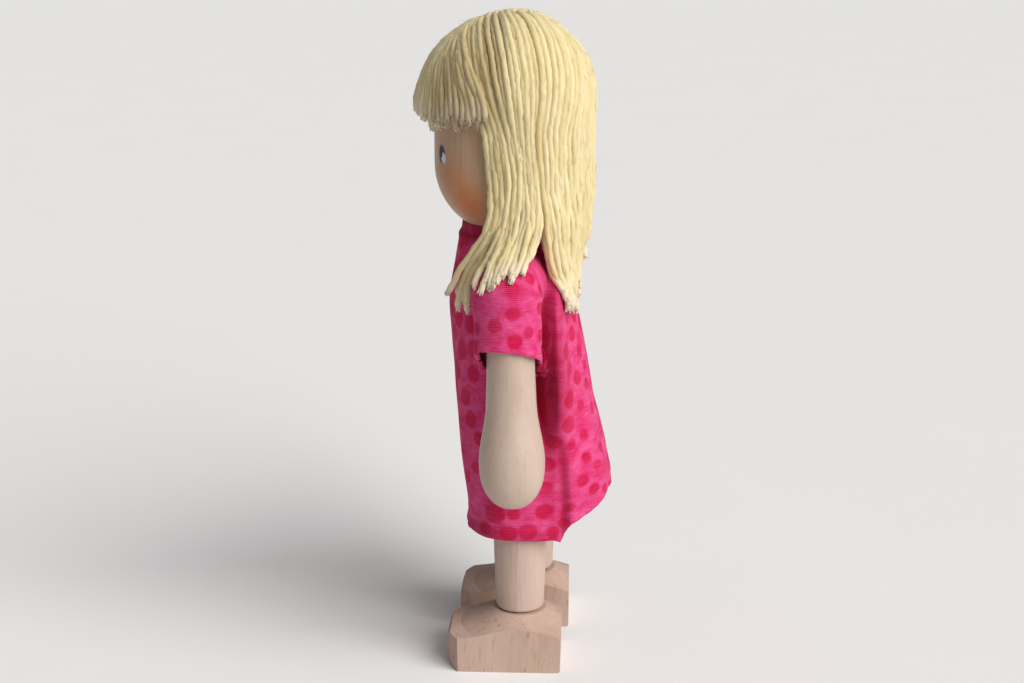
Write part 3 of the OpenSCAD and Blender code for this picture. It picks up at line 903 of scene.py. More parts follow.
# Guides for one side, from the front edge of the side hair (0) round to the middle of the back (1).
# The yarn hangs straight, parts over the shoulder between 0.44 and 0.46, and fans out in cut tips.
GUIDES = {
    0.00: [(11.75, -2.7, 84.0), (11.75, -2.6, 79.0), (11.8, -1.7, 75.3), (12.0, -1.9, 71.8), (12.0, -3.0, 68.5), (11.5, -5.0, 65.1), (10.9, -7.3, 62.4), (10.4, -8.6, 59.6)],
    0.10: [(11.75, -1.6, 84.0), (11.75, -1.0, 79.0), (11.8, -0.6, 75.4), (12.1, -0.7, 71.9), (12.3, -1.8, 68.4), (12.0, -3.8, 64.5), (11.6, -5.6, 60.1), (11.4, -6.1, 55.7)],
    0.15: [(11.75, -1.0, 84.0), (11.75, -0.3, 79.0), (11.8, 0.0, 75.4), (12.1, 0.0, 72.0), (12.5, -1.0, 68.7), (12.9, -3.1, 65.5), (13.3, -5.0, 61.5), (13.6, -5.3, 57.2)],
    0.18: [(11.75, -0.7, 84.0), (11.75, 0.1, 79.0), (11.8, 0.4, 75.5), (12.1, 0.4, 72.1), (12.6, -0.4, 69.0), (13.4, -2.2, 66.2), (15.9, -3.5, 63.6), (16.9, -4.2, 60.9)],
    0.22: [(11.75, -0.4, 84.0), (11.75, 0.4, 79.0), (11.8, 0.7, 75.5), (12.1, 0.7, 72.2), (12.8, 0.0, 69.2), (13.8, -1.1, 66.6), (17.1, -2.0, 64.1), (18.5, -2.7, 61.6)],
    0.32: [(11.7, 1.2, 84.0), (11.7, 2.0, 79.0), (11.7, 2.2, 75.4), (12.0, 2.3, 72.5), (12.8, 1.9, 69.9), (13.9, 0.95, 67.4), (16.4, 0.3, 65.2), (19.0, -0.2, 62.6)],
    0.40: [(11.5, 3.0, 84.0), (11.4, 3.5, 79.0), (11.4, 3.7, 75.6), (11.8, 4.0, 73.2), (12.5, 3.9, 70.7), (13.3, 3.4, 68.3), (14.9, 2.6, 65.8), (18.5, 1.9, 63.5)],
    0.44: [(11.4, 4.0, 84.0), (11.3, 4.5, 79.0), (11.1, 4.7, 75.6), (11.5, 5.1, 73.1), (12.1, 5.5, 71.0), (12.7, 5.4, 68.9), (13.6, 4.7, 66.7), (17.0, 3.5, 64.6)],
    0.46: [(11.3, 4.3, 84.0), (11.2, 4.8, 79.0), (11.0, 4.9, 75.2), (11.2, 5.6, 72.0), (11.2, 6.0, 68.6), (10.8, 6.4, 65.1), (9.8, 7.4, 60.9), (8.4, 8.7, 56.7)],
    0.60: [(9.9, 6.9, 84.0), (9.8, 7.2, 79.0), (9.6, 7.3, 75.0), (9.6, 7.8, 71.7), (9.3, 8.2, 68.2), (8.7, 8.6, 64.6), (7.8, 9.0, 60.4), (6.9, 9.6, 56.0)],
    0.80: [(6.7, 10.3, 84.0), (6.5, 10.3, 79.0), (6.4, 10.3, 74.4), (6.2, 10.5, 71.0), (5.9, 10.2, 67.5), (5.5, 9.7, 63.2), (5.0, 9.7, 59.4), (4.8, 9.9, 55.4)],
    0.90: [(3.6, 11.7, 84.0), (3.5, 11.6, 79.0), (3.5, 11.5, 73.8), (3.4, 11.6, 70.2), (3.2, 11.1, 67.0), (3.0, 10.3, 64.0), (2.8, 9.85, 60.6), (2.7, 9.9, 57.2)],
    1.00: [(0.35, 12.3, 84.0), (0.35, 12.25, 79.0), (0.35, 12.2, 73.2), (0.4, 12.15, 69.7), (0.5, 11.4, 66.8), (0.6, 10.6, 64.8), (0.6, 10.0, 62.6), (0.6, 9.85, 60.4)],
}
GK = np.array(sorted(GUIDES))
GP = np.array([GUIDES[k] for k in sorted(GUIDES)])
# angle round the head (from the front) of each guide
GPHI = np.degrees(np.arctan2(GP[:, 2, 0], -(GP[:, 2, 1] - HC[1])))


def unit(v):
    return v / (np.linalg.norm(v, axis=-1, keepdims=True) + 1e-12)


def slerp(a, b, n):
    a, b = unit(a), unit(b)
    om = math.acos(float(np.clip(a @ b, -1, 1)))
    t = np.linspace(0, 1, n)[:, None]
    return (np.sin((1 - t) * om) * a + np.sin(t * om) * b) / math.sin(om)


def crown_r(d):
    d = unit(d)
    beta = np.degrees(np.arctan2(d[..., 2], d[..., 1]))
    beta = np.where(beta < -90, beta + 360, beta)
    side = np.abs(d[..., 0]) ** 1.5
    return crown(beta) * (1 - side) + 12.65 * side


def even(path, step, sigma):
    """The path at an even step, rounded off over sigma mm."""
    path = np.asarray(path, float)
    d = np.r_[0, np.cumsum(np.linalg.norm(np.diff(path, axis=0), axis=1))]
    n = max(int(d[-1] / 0.2), 8)
    s = np.linspace(0, d[-1], n)
    q = np.stack([np.interp(s, d, path[:, i]) for i in range(3)], 1)
    if sigma > 0:
        m = int(3 * sigma / 0.2)
        pre = 2 * q[0] - q[1:m + 1][::-1]
        post = 2 * q[-1] - q[-m - 1:-1][::-1]
        k = np.exp(-0.5 * (np.arange(-m, m + 1) * 0.2 / sigma) ** 2)
        full = np.concatenate([pre, q, post])
        q = np.stack([np.convolve(full[:, i], k / k.sum(), mode="valid") for i in range(3)], 1)
    d = np.r_[0, np.cumsum(np.linalg.norm(np.diff(q, axis=0), axis=1))]
    n = max(int(round(d[-1] / step)), 4) + 1
    s = np.linspace(0, d[-1], n)
    return np.stack([np.interp(s, d, q[:, i]) for i in range(3)], 1)


def head_gap(p):
    """Distance from the head's wood."""
    c = np.stack([np.zeros(len(p)), np.full(len(p), -0.9), np.clip(p[:, 2], 77.0, 87.1)], 1)
    return np.linalg.norm(p - c, axis=1) - 10.75, unit(p - c)


def settle(p, r):
    """Pushes a strand's middle line out of the head and the frock."""
    for _ in range(4):
        g, n = head_gap(p)
        p = p + n * np.maximum(r * 0.85 - g, 0)[:, None]
        low = p[:, 2] < 70
        if low.any():
            q = p[low] * [1, 1, 1]
            sx = np.where(q[:, :1] < 0, -1.0, 1.0)
            a = np.concatenate([np.abs(q[:, :1]), q[:, 1:]], 1)
            f = f_frock(a)
            m = f < r * 1.05
            if m.any():
                g = grad(f_frock, a[m])
                a[m] += g * (r * 1.05 - f[m])[:, None]
                p[low] = np.concatenate([a[:, :1] * sx, a[:, 1:]], 1)
    return p


def side_strand(rng, phi, inset, layer, side):
    """One strand of the side or back hair, at angle phi from the front on the outer layer."""
    t = float(np.interp(phi, GPHI, GK))
    if 0.435 < t < 0.465:
        t = 0.435 if rng.random() < 0.5 else 0.465
    i = int(np.clip(np.searchsorted(GK, t, side="right") - 1, 0, len(GK) - 2))
    if GK[i] == 0.44 and t < 0.45:
        i -= 1
    f = (t - GK[i]) / (GK[i + 1] - GK[i])
    low = GP[i] * (1 - f) + GP[i + 1] * f
    # a little shuffle so that no two tips agree
    ease = np.linspace(0, 1, len(low))[:, None]
    low = low + ease ** 2 * np.array([rng.normal(0, 0.25), rng.normal(0, 0.40 if t < 0.45 else 0.22), 0.0])
    if side < 0 and t > 0.5:
        low[:, 1] -= 0.55 * sstep(68, 63, low[:, 2])
    y1 = low[0, 1]
    y0 = float(np.interp(y1, [-3, 1.5, 6, 10.5, 12.3], [-7.0, -2.6, 1.5, 6.6, 8.6])) + rng.normal(0, 0.10)
    top = np.array([0.10, y0 - HC[1], math.sqrt(12.4 ** 2 - (y0 - HC[1]) ** 2)])
    p1 = low[0] - HC
    arc = slerp(top, p1, 16)
    r = crown_r(arc) - inset - 0.85 * sstep(108, 97, phi) * np.abs(unit(arc)[:, 0]) ** 1.5
    r = np.maximum(r, 11.3)
    r[0] -= 0.10
    arc = arc * r[:, None] + HC
    # keep the lower part at its layer, too
    ax = np.stack([low[:, 0], low[:, 1] - HC[1], np.zeros(len(low))], 1)
    low = low - unit(ax) * inset * np.where(low[:, 2:3] > 66, 1.0, 0.6)
    rad = np.hypot(low[:, 0], low[:, 1] + 0.9)
    tight = (rad < 11.3) & (low[:, 2] > 72)
    low[tight, 0] *= (11.3 / rad[tight])
    path = np.concatenate([arc[:-1], low])
    path = even(path, 0.6, 1.3)
    s = np.arange(len(path)) * 0.6
    # loose wander, stronger where the yarn hangs free
    free = sstep(88, 66, path[:, 2])
    for k in range(3):
        ph = rng.uniform(0, 6.28, 2)
        lam = rng.uniform(7, 16, 2)
        path[:, k] += (0.05 + 0.12 * free) * (np.sin(s * 6.28 / lam[0] + ph[0]) + 0.5 * np.sin(s * 12.6 / lam[1] + ph[1])) * (0.0 if k == 2 else 1.0)
    cut_ = rng.uniform(0.0, 2.4) if t > 0.45 else rng.uniform(0.0, 1.0)
    if layer > 0:
        cut_ += rng.uniform(-0.2, 1.6)
    n = max(len(path) - int(max(cut_, 0) / 0.6), 8)
    path = path[:n]
    path = settle(path, YARN_R)
    path = even(path, 0.5, 0.5)
    path[:, 0] *= side
    return path


def fringe_strand(rng, phi, layer):
    """One strand of the fringe: from the front of the parting over the forehead."""
    a = math.radians(phi)
    w = abs(phi) / 82.0
    y0 = -6.9 + 2.4 * (1 - w) + rng.normal(0, 0.3) - HC[1]
    top = np.array([0.25 * np.sign(phi + 0.01), y0, math.sqrt(max(12.2 ** 2 - y0 ** 2, 1))])
    z_end = 82.75 + 1.75 * w ** 2 + (2.4, 1.0, 0.0)[layer] * (1 - 0.55 * w) + rng.normal(0, 0.22)
    back = math.radians(phi * 0.93)
    p1 = np.array([math.sin(back), -math.cos(back), 0.22])
    arc = slerp(top, p1, 12)
    el = np.degrees(np.arcsin(unit(arc)[:, 2]))
    inset = np.array([0.0, 0.75, 1.45])[layer] * sstep(62, 8, el)
    r = crown_r(arc) * (1 - 0) - inset
    r = np.maximum(r - 0.25 * layer * sstep(8, 62, el), 11.35)
    arc = arc * r[:, None] + HC
    pts = [arc]
    # below the brow the yarn hangs straight, and curls a little towards the face at its tip
    last = arc[-1]
    base = crown_r(np.array([math.sin(a), -math.cos(a), 0.0])) + (0.35, 0.0, -0.35)[layer] * (1 - 0.5 * w) - (0.0, 0.65, 1.25)[layer]
    base = max(float(base), 11.5)
    for z, dr in ((87.2, 0.0), (85.6, 0.10), (84.2, 0.05), (82.8, -0.20), (81.2, -0.45)):
        rr = max(base + dr - (0.0, 0.0, 0.15)[layer], 11.42)
        pts.append(np.array([[math.sin(a) * rr, HC[1] - math.cos(a) * rr, z]]))
    path = even(np.concatenate(pts), 0.5, 1.0)
    keep = path[:, 2] > z_end
    path = path[: max(int(np.argmin(keep)) if not keep.all() else len(path), 8)]
    s = np.arange(len(path)) * 0.5
    for k in (0, 1):
        path[:, k] += 0.09 * np.sin(s * 6.28 / rng.uniform(6, 12) + rng.uniform(0, 6.28))
    g, n = head_gap(path)
    path = path + n * np.maximum(YARN_R * 0.85 - g, 0)[:, None]
    return even(path, 0.45, 0.4)


def tubes(name, paths, rng, sides=8, fuzz=26, cut=None):
    """Yarn strands as one mesh: twisted two-ply tubes with rounded cut ends, and fine loose fibres standing off them."""
    V, F, Y, T = [], [], [], []
    base = 0
    ang = np.linspace(0, 2 * math.pi, sides, endpoint=False)
    for path, layer, deep in paths:
        n = len(path)
        tan = unit(np.gradient(path, axis=0))
        nrm = np.zeros_like(path)
        up = np.array([1.0, 0.3, 0.2])
        nrm[0] = unit(np.cross(tan[0], up))
        for i in range(1, n):
            v = nrm[i - 1] - tan[i] * (nrm[i - 1] @ tan[i])
            nrm[i] = v / (np.linalg.norm(v) + 1e-12)
        bi = np.cross(tan, nrm)
        s = np.r_[0, np.cumsum(np.linalg.norm(np.diff(path, axis=0), axis=1))]
        pitch = rng.uniform(2.4, 3.6)
        thick = YARN_R * rng.uniform(0.88, 1.08)
        soft = 1 + 0.04 * np.sin(s * 6.28 / rng.uniform(3, 6) + rng.uniform(0, 6.28)) + 0.05 * np.sin(s * 6.28 / rng.uniform(1.5, 3) + rng.uniform(0, 6.28))
        # ends: a tucked start and a slightly frayed, rounded tip
        e0 = np.clip(s / 0.35, 0, 1)
        e1 = np.clip((s[-1] - s) / 0.28, 0, 1)
        endr = np.sqrt(np.clip(1 - (1 - e0) ** 2, 0.06, 1)) * np.sqrt(np.clip(1 - (1 - e1) ** 2, 0.10, 1))
        flare = 1 + 0.02 * np.exp(-(((s[-1] - s) - 0.9) / 0.7) ** 2)
        ph = rng.uniform(0, 6.28)
        A = ang[None, :]
        rad = thick * (soft * endr * flare)[:, None] * (1 + 0.06 * np.cos(2 * (A - s[:, None] * 2 * math.pi / pitch - ph)) + 0.02 * rng.normal(size=(n, sides)))
        ring = path[:, None, :] + rad[..., None] * (np.cos(A)[..., None] * nrm[:, None, :] + np.sin(A)[..., None] * bi[:, None, :])
        V.append(ring.reshape(-1, 3))
        caps = np.stack([path[0] - tan[0] * 0.02, path[-1] + tan[-1] * 0.10])
        V.append(caps)
        i = np.arange(n - 1)[:, None] * sides
        j = np.arange(sides)[None, :]
        k = (j + 1) % sides
        quad = np.stack([i + j, i + k, i + k + sides, i + j + sides], -1).reshape(-1, 4) + base
        F += quad.tolist()
        c0, c1 = base + n * sides, base + n * sides + 1
        F += [[c0, base + b, base + a] for a, b in zip(range(sides), np.roll(range(sides), -1))]
        o = base + (n - 1) * sides
        F += [[c1, o + a, o + b] for a, b in zip(range(sides), np.roll(range(sides), -1))]
        ident = rng.uniform(0, 1)
        off = rng.uniform(0, 100)
        along = np.repeat(s + off, sides)
        twist = np.tile(ang * thick, n) + np.repeat(s * 0.45, sides)
        tip = np.repeat(np.exp(-((s[-1] - s) / 2.6) ** 2), sides)
        Y.append(np.stack([along, twist, np.full(n * sides, ident * 50)], 1))
        T.append(np.stack([np.full(n * sides, ident), np.full(n * sides, deep), tip], 1))
        Y.append(np.array([[off, 0, ident * 50], [off + s[-1], 0, ident * 50]]))
        T.append(np.array([[ident, deep, 0], [ident, deep, 1]]))
        base += n * sides + 2
        # loose fibres
        m = int(fuzz * s[-1]) + 2
        q = rng.integers(1, max(n - 4, 2), m)
        a = rng.uniform(0, 6.28, m)[:, None]
        out = np.cos(a) * nrm[q] + np.sin(a) * bi[q]
        go = tan[q] * rng.choice([-1.0, 1.0], (m, 1), p=[0.35, 0.65]) * rng.uniform(0.7, 1.3, (m, 1)) + out * rng.uniform(0.02, 0.24, (m, 1)) + np.cross(out, tan[q]) * rng.normal(0, 0.28, (m, 1))
        length = rng.uniform(0.6, 1.9, (m, 1, 1)) * np.where(q > n - 8, 0.5, 1.0)[:, None, None]
        tt = np.linspace(0, 1, 4)[None, :, None]
        fib = (path[q] + out * thick * 0.88)[:, None, :] + go[:, None, :] * length * tt - out[:, None, :] * 0.22 * length * tt ** 2
        m2 = 9
        a2 = rng.uniform(0, 6.28, m2)[:, None]
        out2 = np.cos(a2) * nrm[-2] + np.sin(a2) * bi[-2]
        far = 0.34 * np.sqrt(rng.uniform(0.05, 1.0, (m2, 1)))
        go2 = tan[-2] + out2 * rng.uniform(-0.05, 0.22, (m2, 1))
        fib2 = (path[-2] + out2 * far)[:, None, :] + go2[:, None, :] * rng.uniform(0.50, 0.90, (m2, 1, 1)) * tt
        fib = np.concatenate([fib, fib2])
        out = np.concatenate([out, out2])
        ft = unit(np.gradient(fib, axis=1))
        fn = unit(np.cross(ft, np.broadcast_to(out[:, None, :], ft.shape)))
        fb = np.cross(ft, fn)
        fr = np.concatenate([np.tile([0.034, 0.030, 0.022, 0.008], (m, 1)), np.tile([0.15, 0.16, 0.14, 0.08], (m2, 1))])[:, :, None, None]
        q = np.concatenate([q, np.full(m2, n - 2)])
        m = m + m2
        fa = np.array([0, 2.094, 4.189])[None, None, :, None]
        fv = fib[:, :, None, :] + fr * (np.cos(fa) * fn[:, :, None, :] + np.sin(fa) * fb[:, :, None, :])
        V.append(fv.reshape(-1, 3))
        start = (base + 12 * np.arange(m))[:, None, None]
        fi = (np.arange(3) * 3)[None, :, None]
        fj = np.arange(3)[None, None, :]
        fn2 = (fj + 1) % 3
        F += np.stack([start + fi + fj, start + fi + fn2, start + fi + fn2 + 3, start + fi + fj + 3], -1).reshape(-1, 4).tolist()
        o = start[:, 0, 0]
        F += np.stack([o + 2, o + 1, o], -1).tolist() + np.stack([o + 9, o + 10, o + 11], -1).tolist()
        Y.append(np.repeat(np.stack([off + s[q], np.zeros(m), np.full(m, ident * 50)], 1), 12, axis=0))
        T.append(np.repeat(np.stack([np.full(m, ident), np.full(m, deep * 0.4), np.where(q >= n - 4, 0.9, 0.3)], 1), 12, axis=0))
        base += 12 * m
    V, Y, T = np.concatenate(V), np.concatenate(Y), np.concatenate(T)
    if cut is None:
        parts = [(name, F)]
    else:
        # two pieces that meet at one height
        mean = np.array([V[list(f), 2].mean() for f in F])
        parts = [(name, [f for f, z in zip(F, mean) if z > cut]), (name + "_tips", [f for f, z in zip(F, mean) if z <= cut])]
    made_ = []
    for part, faces in parts:
        used = np.unique(np.concatenate([np.array(f) for f in faces]))
        back = -np.ones(len(V), int)
        back[used] = np.arange(len(used))
        ob = make_mesh(part, V[used], [[int(back[i]) for i in f] for f in faces])
        add_attr(ob, "yarn", Y[used])
        add_attr(ob, "tint", T[used])
        made_.append((ob, V[used]))
    return made_


def yarn_material():
    m = Nodes("wool_yarn")
    y = m.attr("yarn")
    t = m.sep(m.attr("tint"))
    base = m.mix(m.range(t[0], 0, 1, 0, 1, smooth=False), srgb(221, 203, 150), srgb(233, 218, 172))
    # painted shade: the second tint channel, deep, darkens the inner layers, some middle strands and the felt
    base = m.mix(m.math("MULTIPLY", m.math("MINIMUM", t[1], 1.0), 0.60), base, srgb(212, 190, 130))
    base = m.mix(m.math("MULTIPLY", t[2], 0.85), base, srgb(238, 224, 204))
    fib = m.noise(m.mapping(y, (0.55, 7.0, 1.0)), 1.0, 3.0, 0.6)
    long_ = m.noise(m.mapping(y, (0.16, 0.8, 1.0)), 1.0, 2.0, 0.5)
    col = m.mix(m.math("MULTIPLY", m.range(fib, 0.35, 0.62), 0.24), base, srgb(206, 186, 128))
    col = m.mix(m.math("MULTIPLY", m.range(long_, 0.42, 0.7), 0.28), col, srgb(243, 233, 202))
    # painted shade: the "front" attribute darkens the yarn towards the face
    col = m.mix(m.sep(m.attr("front"))[0], col, (0.62, 0.575, 0.53), "MULTIPLY")
    m.set(Base_Color=col, Roughness=0.95)
    m.link(m.bump(fib, 0.40, 0.00010), m.bsdf.inputs["Normal"])
    m.bsdf.inputs["Sheen Weight"].default_value = 0.35
    m.bsdf.inputs["Sheen Roughness"].default_value = 0.45
    m.bsdf.inputs["Sheen Tint"].default_value = (1.0, 0.95, 0.78, 1)
    m.bsdf.inputs["Specular IOR Level"].default_value = 0.12
    m.bsdf.inputs["Subsurface Weight"].default_value = 0.12
    m.bsdf.inputs["Subsurface Radius"].default_value = (1.0, 0.95, 0.8)
    m.bsdf.inputs["Subsurface Scale"].default_value = 0.0004
    return m.mat


def painted_front_shade(V):
    """Painted shade on the yarn, 0 to 1: its colour is darkened round the side towards the face, less at the very
    front, on the fringe below the brow and over the top, and only a little on the lower lengths in front.
    """
    phi = np.degrees(np.arctan2(np.abs(V[:, 0]), -(V[:, 1] - HC[1])))
    up = 0.12 + 0.88 * sstep(103, 80, phi)
    up = up * (1 - 0.85 * sstep(50, 26, phi)) * (1 - 0.60 * sstep(84.6, 83.2, V[:, 2]) * (phi < 86))
    up = np.where(phi < 118, up, up * sstep(124, 118, phi))
    low = 0.28 * sstep(5.0, -1.5, V[:, 1])
    k = sstep(76, 70, V[:, 2])
    return (up * (1 - k) + low * k) * (1 - 0.35 * sstep(92, 98, V[:, 2]))


def hair():
    mat = yarn_material()
    out = {}
    fuzz = 1.6
    for side, name, seed in ((1, "left_hair", 51), (-1, "right_hair", 52)):
        rng = np.random.default_rng(seed)
        strands = []
        # outer layer: loose and spaced near the face, close behind the ear
        outer = [86.2, 89.6, 93.4, 97.4, 101.6, 105.8, 109.6, 113.0] + list(np.arange(116.6, 178.5, 3.7))
        middle = [87.9, 91.5, 95.4, 99.5, 103.7, 107.7, 111.3, 114.6, 116.0] + list(np.arange(118.45, 178.0, 3.7))
        inner = [90.0, 94.5, 101.0, 106.5, 110.5, 113.5, 115.5, 118.0] + list(np.arange(120.5, 177.0, 4.6))
        # deep: painted shade, the inner layers' yarn is coloured darker where it lies under the outer ones
        for layer, phis, inset, deep in ((2, inner, 0.95, 0.5), (1, middle, 0.32, 0.15), (0, outer, 0.0, 0.0)):
            for phi in phis:
                near = 1.0 if phi > 116 else 0.6
                p = side_strand(rng, phi + rng.normal(0, 0.22), inset * near + rng.normal(0, 0.05), layer, side)
                # painted shade: three middle strands coloured darkest, as dark lines between strands
                painted_shade_line = 1.1 if phi in (95.4, 103.7, 99.5) else 0.0
                strands.append((p, layer, max(deep, painted_shade_line) + rng.uniform(-0.05, 0.15), bool(p[-1, 1] < 6.0)))
        if side < 0:
            # one tip that sticks out behind
            for dx, dz in ((-1.3, 0.0), (-2.1, 0.35)):
                stray = side_strand(rng, 176.0, 0.25, 0, side)
                stray = stray[stray[:, 2] > 66.5]
                tail = np.array([(dx, 10.9, 65.2 + dz), (dx, 10.6, 64.0 + dz), (dx, 10.75, 63.0 + dz), (dx, 11.15, 62.3 + dz)])
                strands.append((even(np.concatenate([stray, tail]), 0.5, 0.6), 0, 0.1, False))
        for part, keep in ((name, False), (name.replace("hair", "front_hair"), True)):
            mine = [q[:3] for q in strands if q[3] == keep]
            cut = LOCK_CUT if keep else None
            for ob, V in tubes(part, mine, rng, 8, fuzz, cut):
                add_attr(ob, "front", np.repeat(painted_front_shade(V)[:, None], 3, axis=1))
                ob.data.materials.append(mat)
                out[ob.name] = (ob, V)
    rng = np.random.default_rng(53)
    strands = []
    for layer, step, lim in ((2, 4.8, 79), (1, 4.3, 83), (0, 3.9, 85)):
        for phi in np.arange(-lim, lim + 0.1, step):
            # deep: painted shade on the fringe's inner layers
            strands.append((fringe_strand(rng, phi + rng.normal(0, 0.6), layer), layer, (0.0, 0.25, 0.55)[layer]))
    ob, V = tubes("fringe_yarn", strands, rng, 8, fuzz * 1.3)[0]
    add_attr(ob, "front", np.repeat(painted_front_shade(V)[:, None], 3, axis=1))
    ob.data.materials.append(mat)
    out["fringe_yarn"] = (ob, V)
    return out


def scalp():
    """The felted ground that the yarn is glued to: a thin cap on the wood, down to the brow and to the nape."""
    phi = np.arange(-180.0, 180.0, 4.0)
    ap = np.abs(phi)
    low = 84.6 + 4.0 * sstep(78, 90, ap) * sstep(124, 114, ap) - 6.5 * sstep(116, 126, ap)
    rows = 40
    t = np.linspace(0.0, 1.0, rows)[:, None]
    skins = []
    for r in (11.25, 10.95):
        arc = np.where(low < 87.1, r * math.pi / 2 + 87.1 - low, r * np.arccos(np.clip((low - 87.1) / r, 0, 1)))
        d = t * arc[None, :]
        e = np.minimum(d / r, math.pi / 2)
        rr = r * np.sin(e)
        z = 87.1 + r * np.cos(e) - np.maximum(d - r * math.pi / 2, 0)
        a = np.radians(phi)[None, :]
        skins.append(np.stack([np.sin(a) * rr, -0.9 - np.cos(a) * rr, z], -1)[1:])
    k, rows = len(phi), rows - 1
    V = np.concatenate([s.reshape(-1, 3) for s in skins] + [np.array([[0, -0.9, 98.35], [0, -0.9, 98.05]])])
    F = []
    n = rows * k
    for i in range(rows - 1):
        for j in range(k):
            b = (j + 1) % k
            F.append((i * k + j, i * k + b, (i + 1) * k + b, (i + 1) * k + j))
            F.append((n + i * k + b, n + i * k + j, n + (i + 1) * k + j, n + (i + 1) * k + b))
    for j in range(k):
        b = (j + 1) % k
        F.append((j, 2 * n, b))
        F.append((n + b, 2 * n + 1, n + j))
        o = (rows - 1) * k
        F.append((o + j, o + b, n + o + b, n + o + j))
    ob = make_mesh("scalp_felt", V, F)
    add_attr(ob, "yarn", np.stack([V[:, 2], np.arctan2(V[:, 0], -(V[:, 1] + 0.9)) * 11, np.full(len(V), 3.0)], 1))
    # painted shade: the felt's yarn colour is darkened like the inner layers', as shade between the strands
    add_attr(ob, "tint", np.tile([0.5, 0.6, 0.0], (len(V), 1)))
    add_attr(ob, "front", np.repeat(painted_front_shade(V)[:, None], 3, axis=1))
    return ob


locks = hair()
print("HAIR", {k: (len(v[0].data.vertices), len(v[0].data.polygons)) for k, v in locks.items()})
for name in ("left_hair", "right_hair"):
    ob, V = locks[name]
    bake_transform(ob)
    sstep(74.5, 62.5, V[:, 2])
    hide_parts("hair_cap", "hair_lengths")
    front = name.replace("hair", "front_hair")
    ob, V = locks[front]
    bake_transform(ob)
    sstep(77.0, 67.2, V[:, 2])
    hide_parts("hair_cap", "hair_lengths")
    # its tips lie on the sleeve
    sx = 1 if name == "left_hair" else -1
    ob, V = locks[front + "_tips"]
    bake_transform(ob)
    0.60 * sstep(65.6, 60.6, V[:, 2])
    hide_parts("hair_lengths")
felt = scalp()
felt.data.materials.append(locks["left_hair"][0].data.materials[0])
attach(felt, "head")
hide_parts("hair_cap")
ob, V = locks["fringe_yarn"]
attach(ob, "head")
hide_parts("fringe")

# ------------------------------------------------------------------ wood pieces
arm_wood = wood("arm_beech", srgb(199, 177, 161), srgb(192, 169, 153), srgb(182, 156, 140), (0.13, 0.026, 1), 0.0, 0.46, 0.12)
leg_wood = wood("leg_beech", srgb(203, 178, 164), srgb(197, 170, 156), srgb(180, 150, 136), (0, 0, 1), 0.12, 0.66, 0.7)
foot_wood = wood("foot_beech", srgb(198, 171, 156), srgb(190, 162, 147), srgb(178, 126, 94), (0.1, 0.12, 1), 1.25, 0.68, 0.6)
cord_wrap = wood("elastic_cord", srgb(226, 220, 208), srgb(210, 202, 190), srgb(170, 160, 148), (1, 0, 0), 0.0, 0.8, 1.0)


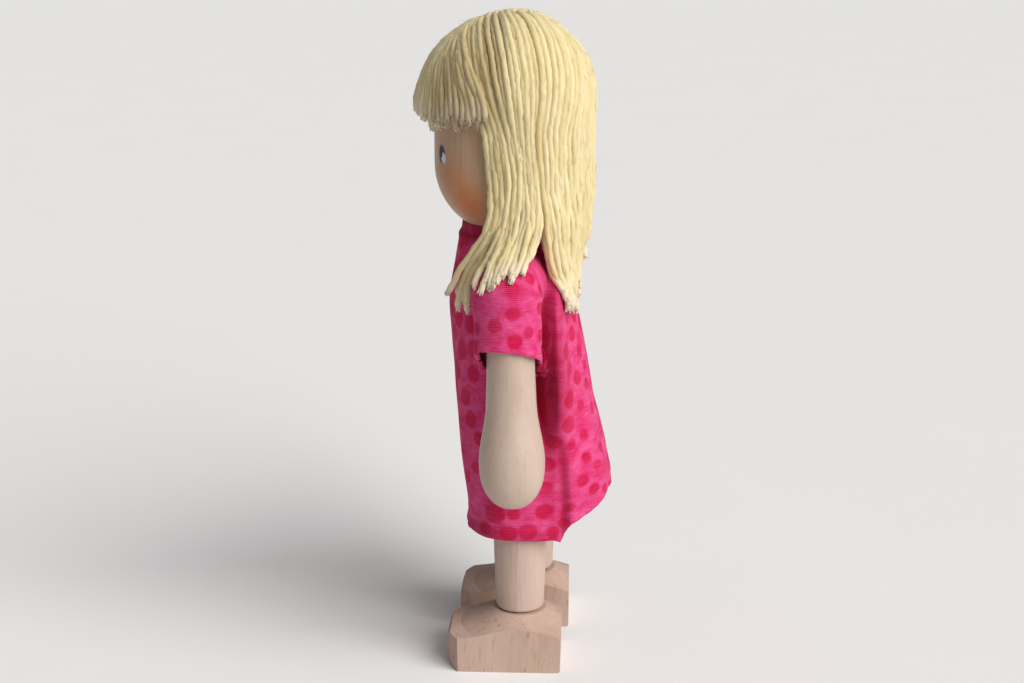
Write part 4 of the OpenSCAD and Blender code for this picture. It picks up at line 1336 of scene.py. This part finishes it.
def head_material():
    """Turned wood under a satin varnish, with painted eyes, a small mouth and soft blushed cheeks."""
    m = wood("head_beech", srgb(190, 160, 132), srgb(182, 150, 122), srgb(164, 126, 98), (0, 0, 1), 0.0, 0.36, 0.35)
    base = m.bsdf.inputs["Base Color"].links[0].from_socket
    c = m.vmath("SCALE", m.coords())
    m.t.nodes[-1].inputs["Scale"].default_value = 1000.0
    xyz = m.sep(c)
    x = m.math("ABSOLUTE", xyz[0])
    yy = m.math("SUBTRACT", -0.9, xyz[1])
    u = m.math("MULTIPLY", m.math("ARCTAN2", x, yy), 10.9)  # mm round the head from the middle of the face
    z = xyz[2]

    def oval(u0, z0, ru, rz, soft=0.10):
        a = m.math("DIVIDE", m.math("SUBTRACT", u, u0), ru)
        b = m.math("DIVIDE", m.math("SUBTRACT", z, z0), rz)
        d = m.math("SQRT", m.math("ADD", m.math("MULTIPLY", a, a), m.math("MULTIPLY", b, b)))
        return m.range(d, 1 + soft, 1 - soft)

    # cheeks: airbrushed, strongest low down and fading towards the eye
    blot = m.noise(c, 0.35, 2.0, 0.5)
    cheek = m.math("MAXIMUM", oval(11.5, 72.5, 3.5, 2.9, 0.95), m.math("MULTIPLY", oval(9.4, 75.2, 3.4, 3.4, 0.95), 0.62))
    cheek = m.math("MULTIPLY", cheek, m.range(blot, 0.2, 0.8, 0.80, 1.0))
    col = m.mix(m.math("MULTIPLY", cheek, 0.90), base, srgb(196, 108, 48))
    # eyes: dark all round, with a light patch low at the outer side
    rim = oval(6.5, 79.25, 1.02, 1.42)
    col = m.mix(rim, col, srgb(58, 50, 98))
    patch = oval(7.0, 78.75, 0.66, 0.80)
    col = m.mix(patch, col, srgb(206, 208, 212))
    pupil = oval(6.22, 79.45, 0.50, 0.78)
    col = m.mix(pupil, col, srgb(30, 26, 56))
    # mouth: a short smile
    mz = m.math("ADD", 72.6, m.math("MULTIPLY", m.math("MULTIPLY", u, u), 0.13))
    line = m.range(m.math("ABSOLUTE", m.math("SUBTRACT", z, mz)), 0.26, 0.16)
    front = m.range(yy, 0.0, 1.0)
    mouth = m.math("MULTIPLY", m.math("MULTIPLY", line, m.range(u, 1.75, 1.55)), front)
    col = m.mix(mouth, col, srgb(176, 54, 50))
    m.link(col, m.bsdf.inputs["Base Color"])
    for l in list(m.bsdf.inputs["Roughness"].links):
        m.t.links.remove(l)
    m.bsdf.inputs["Roughness"].default_value = 0.44
    m.bsdf.inputs["Specular IOR Level"].default_value = 0.14
    m.bsdf.inputs["Coat Weight"].default_value = 0.05
    m.bsdf.inputs["Coat Roughness"].default_value = 0.30
    return m


head_wood = head_material()
for n in ("left_arm", "right_arm"):
    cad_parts[n].data.materials.clear()
    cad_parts[n].data.materials.append(arm_wood.mat)
for n in ("left_leg", "right_leg", "torso", "neck_peg", "left_ankle_peg", "right_ankle_peg"):
    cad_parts[n].data.materials.clear()
    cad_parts[n].data.materials.append(leg_wood.mat)
for n in ("left_foot", "right_foot"):
    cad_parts[n].data.materials.clear()
    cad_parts[n].data.materials.append(foot_wood.mat)
for n in ("shoulder_cord", "hip_cord"):
    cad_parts[n].data.materials.clear()
    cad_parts[n].data.materials.append(cord_wrap.mat)
for n in ("head",):
    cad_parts[n].data.materials.clear()
    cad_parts[n].data.materials.append(head_wood.mat)
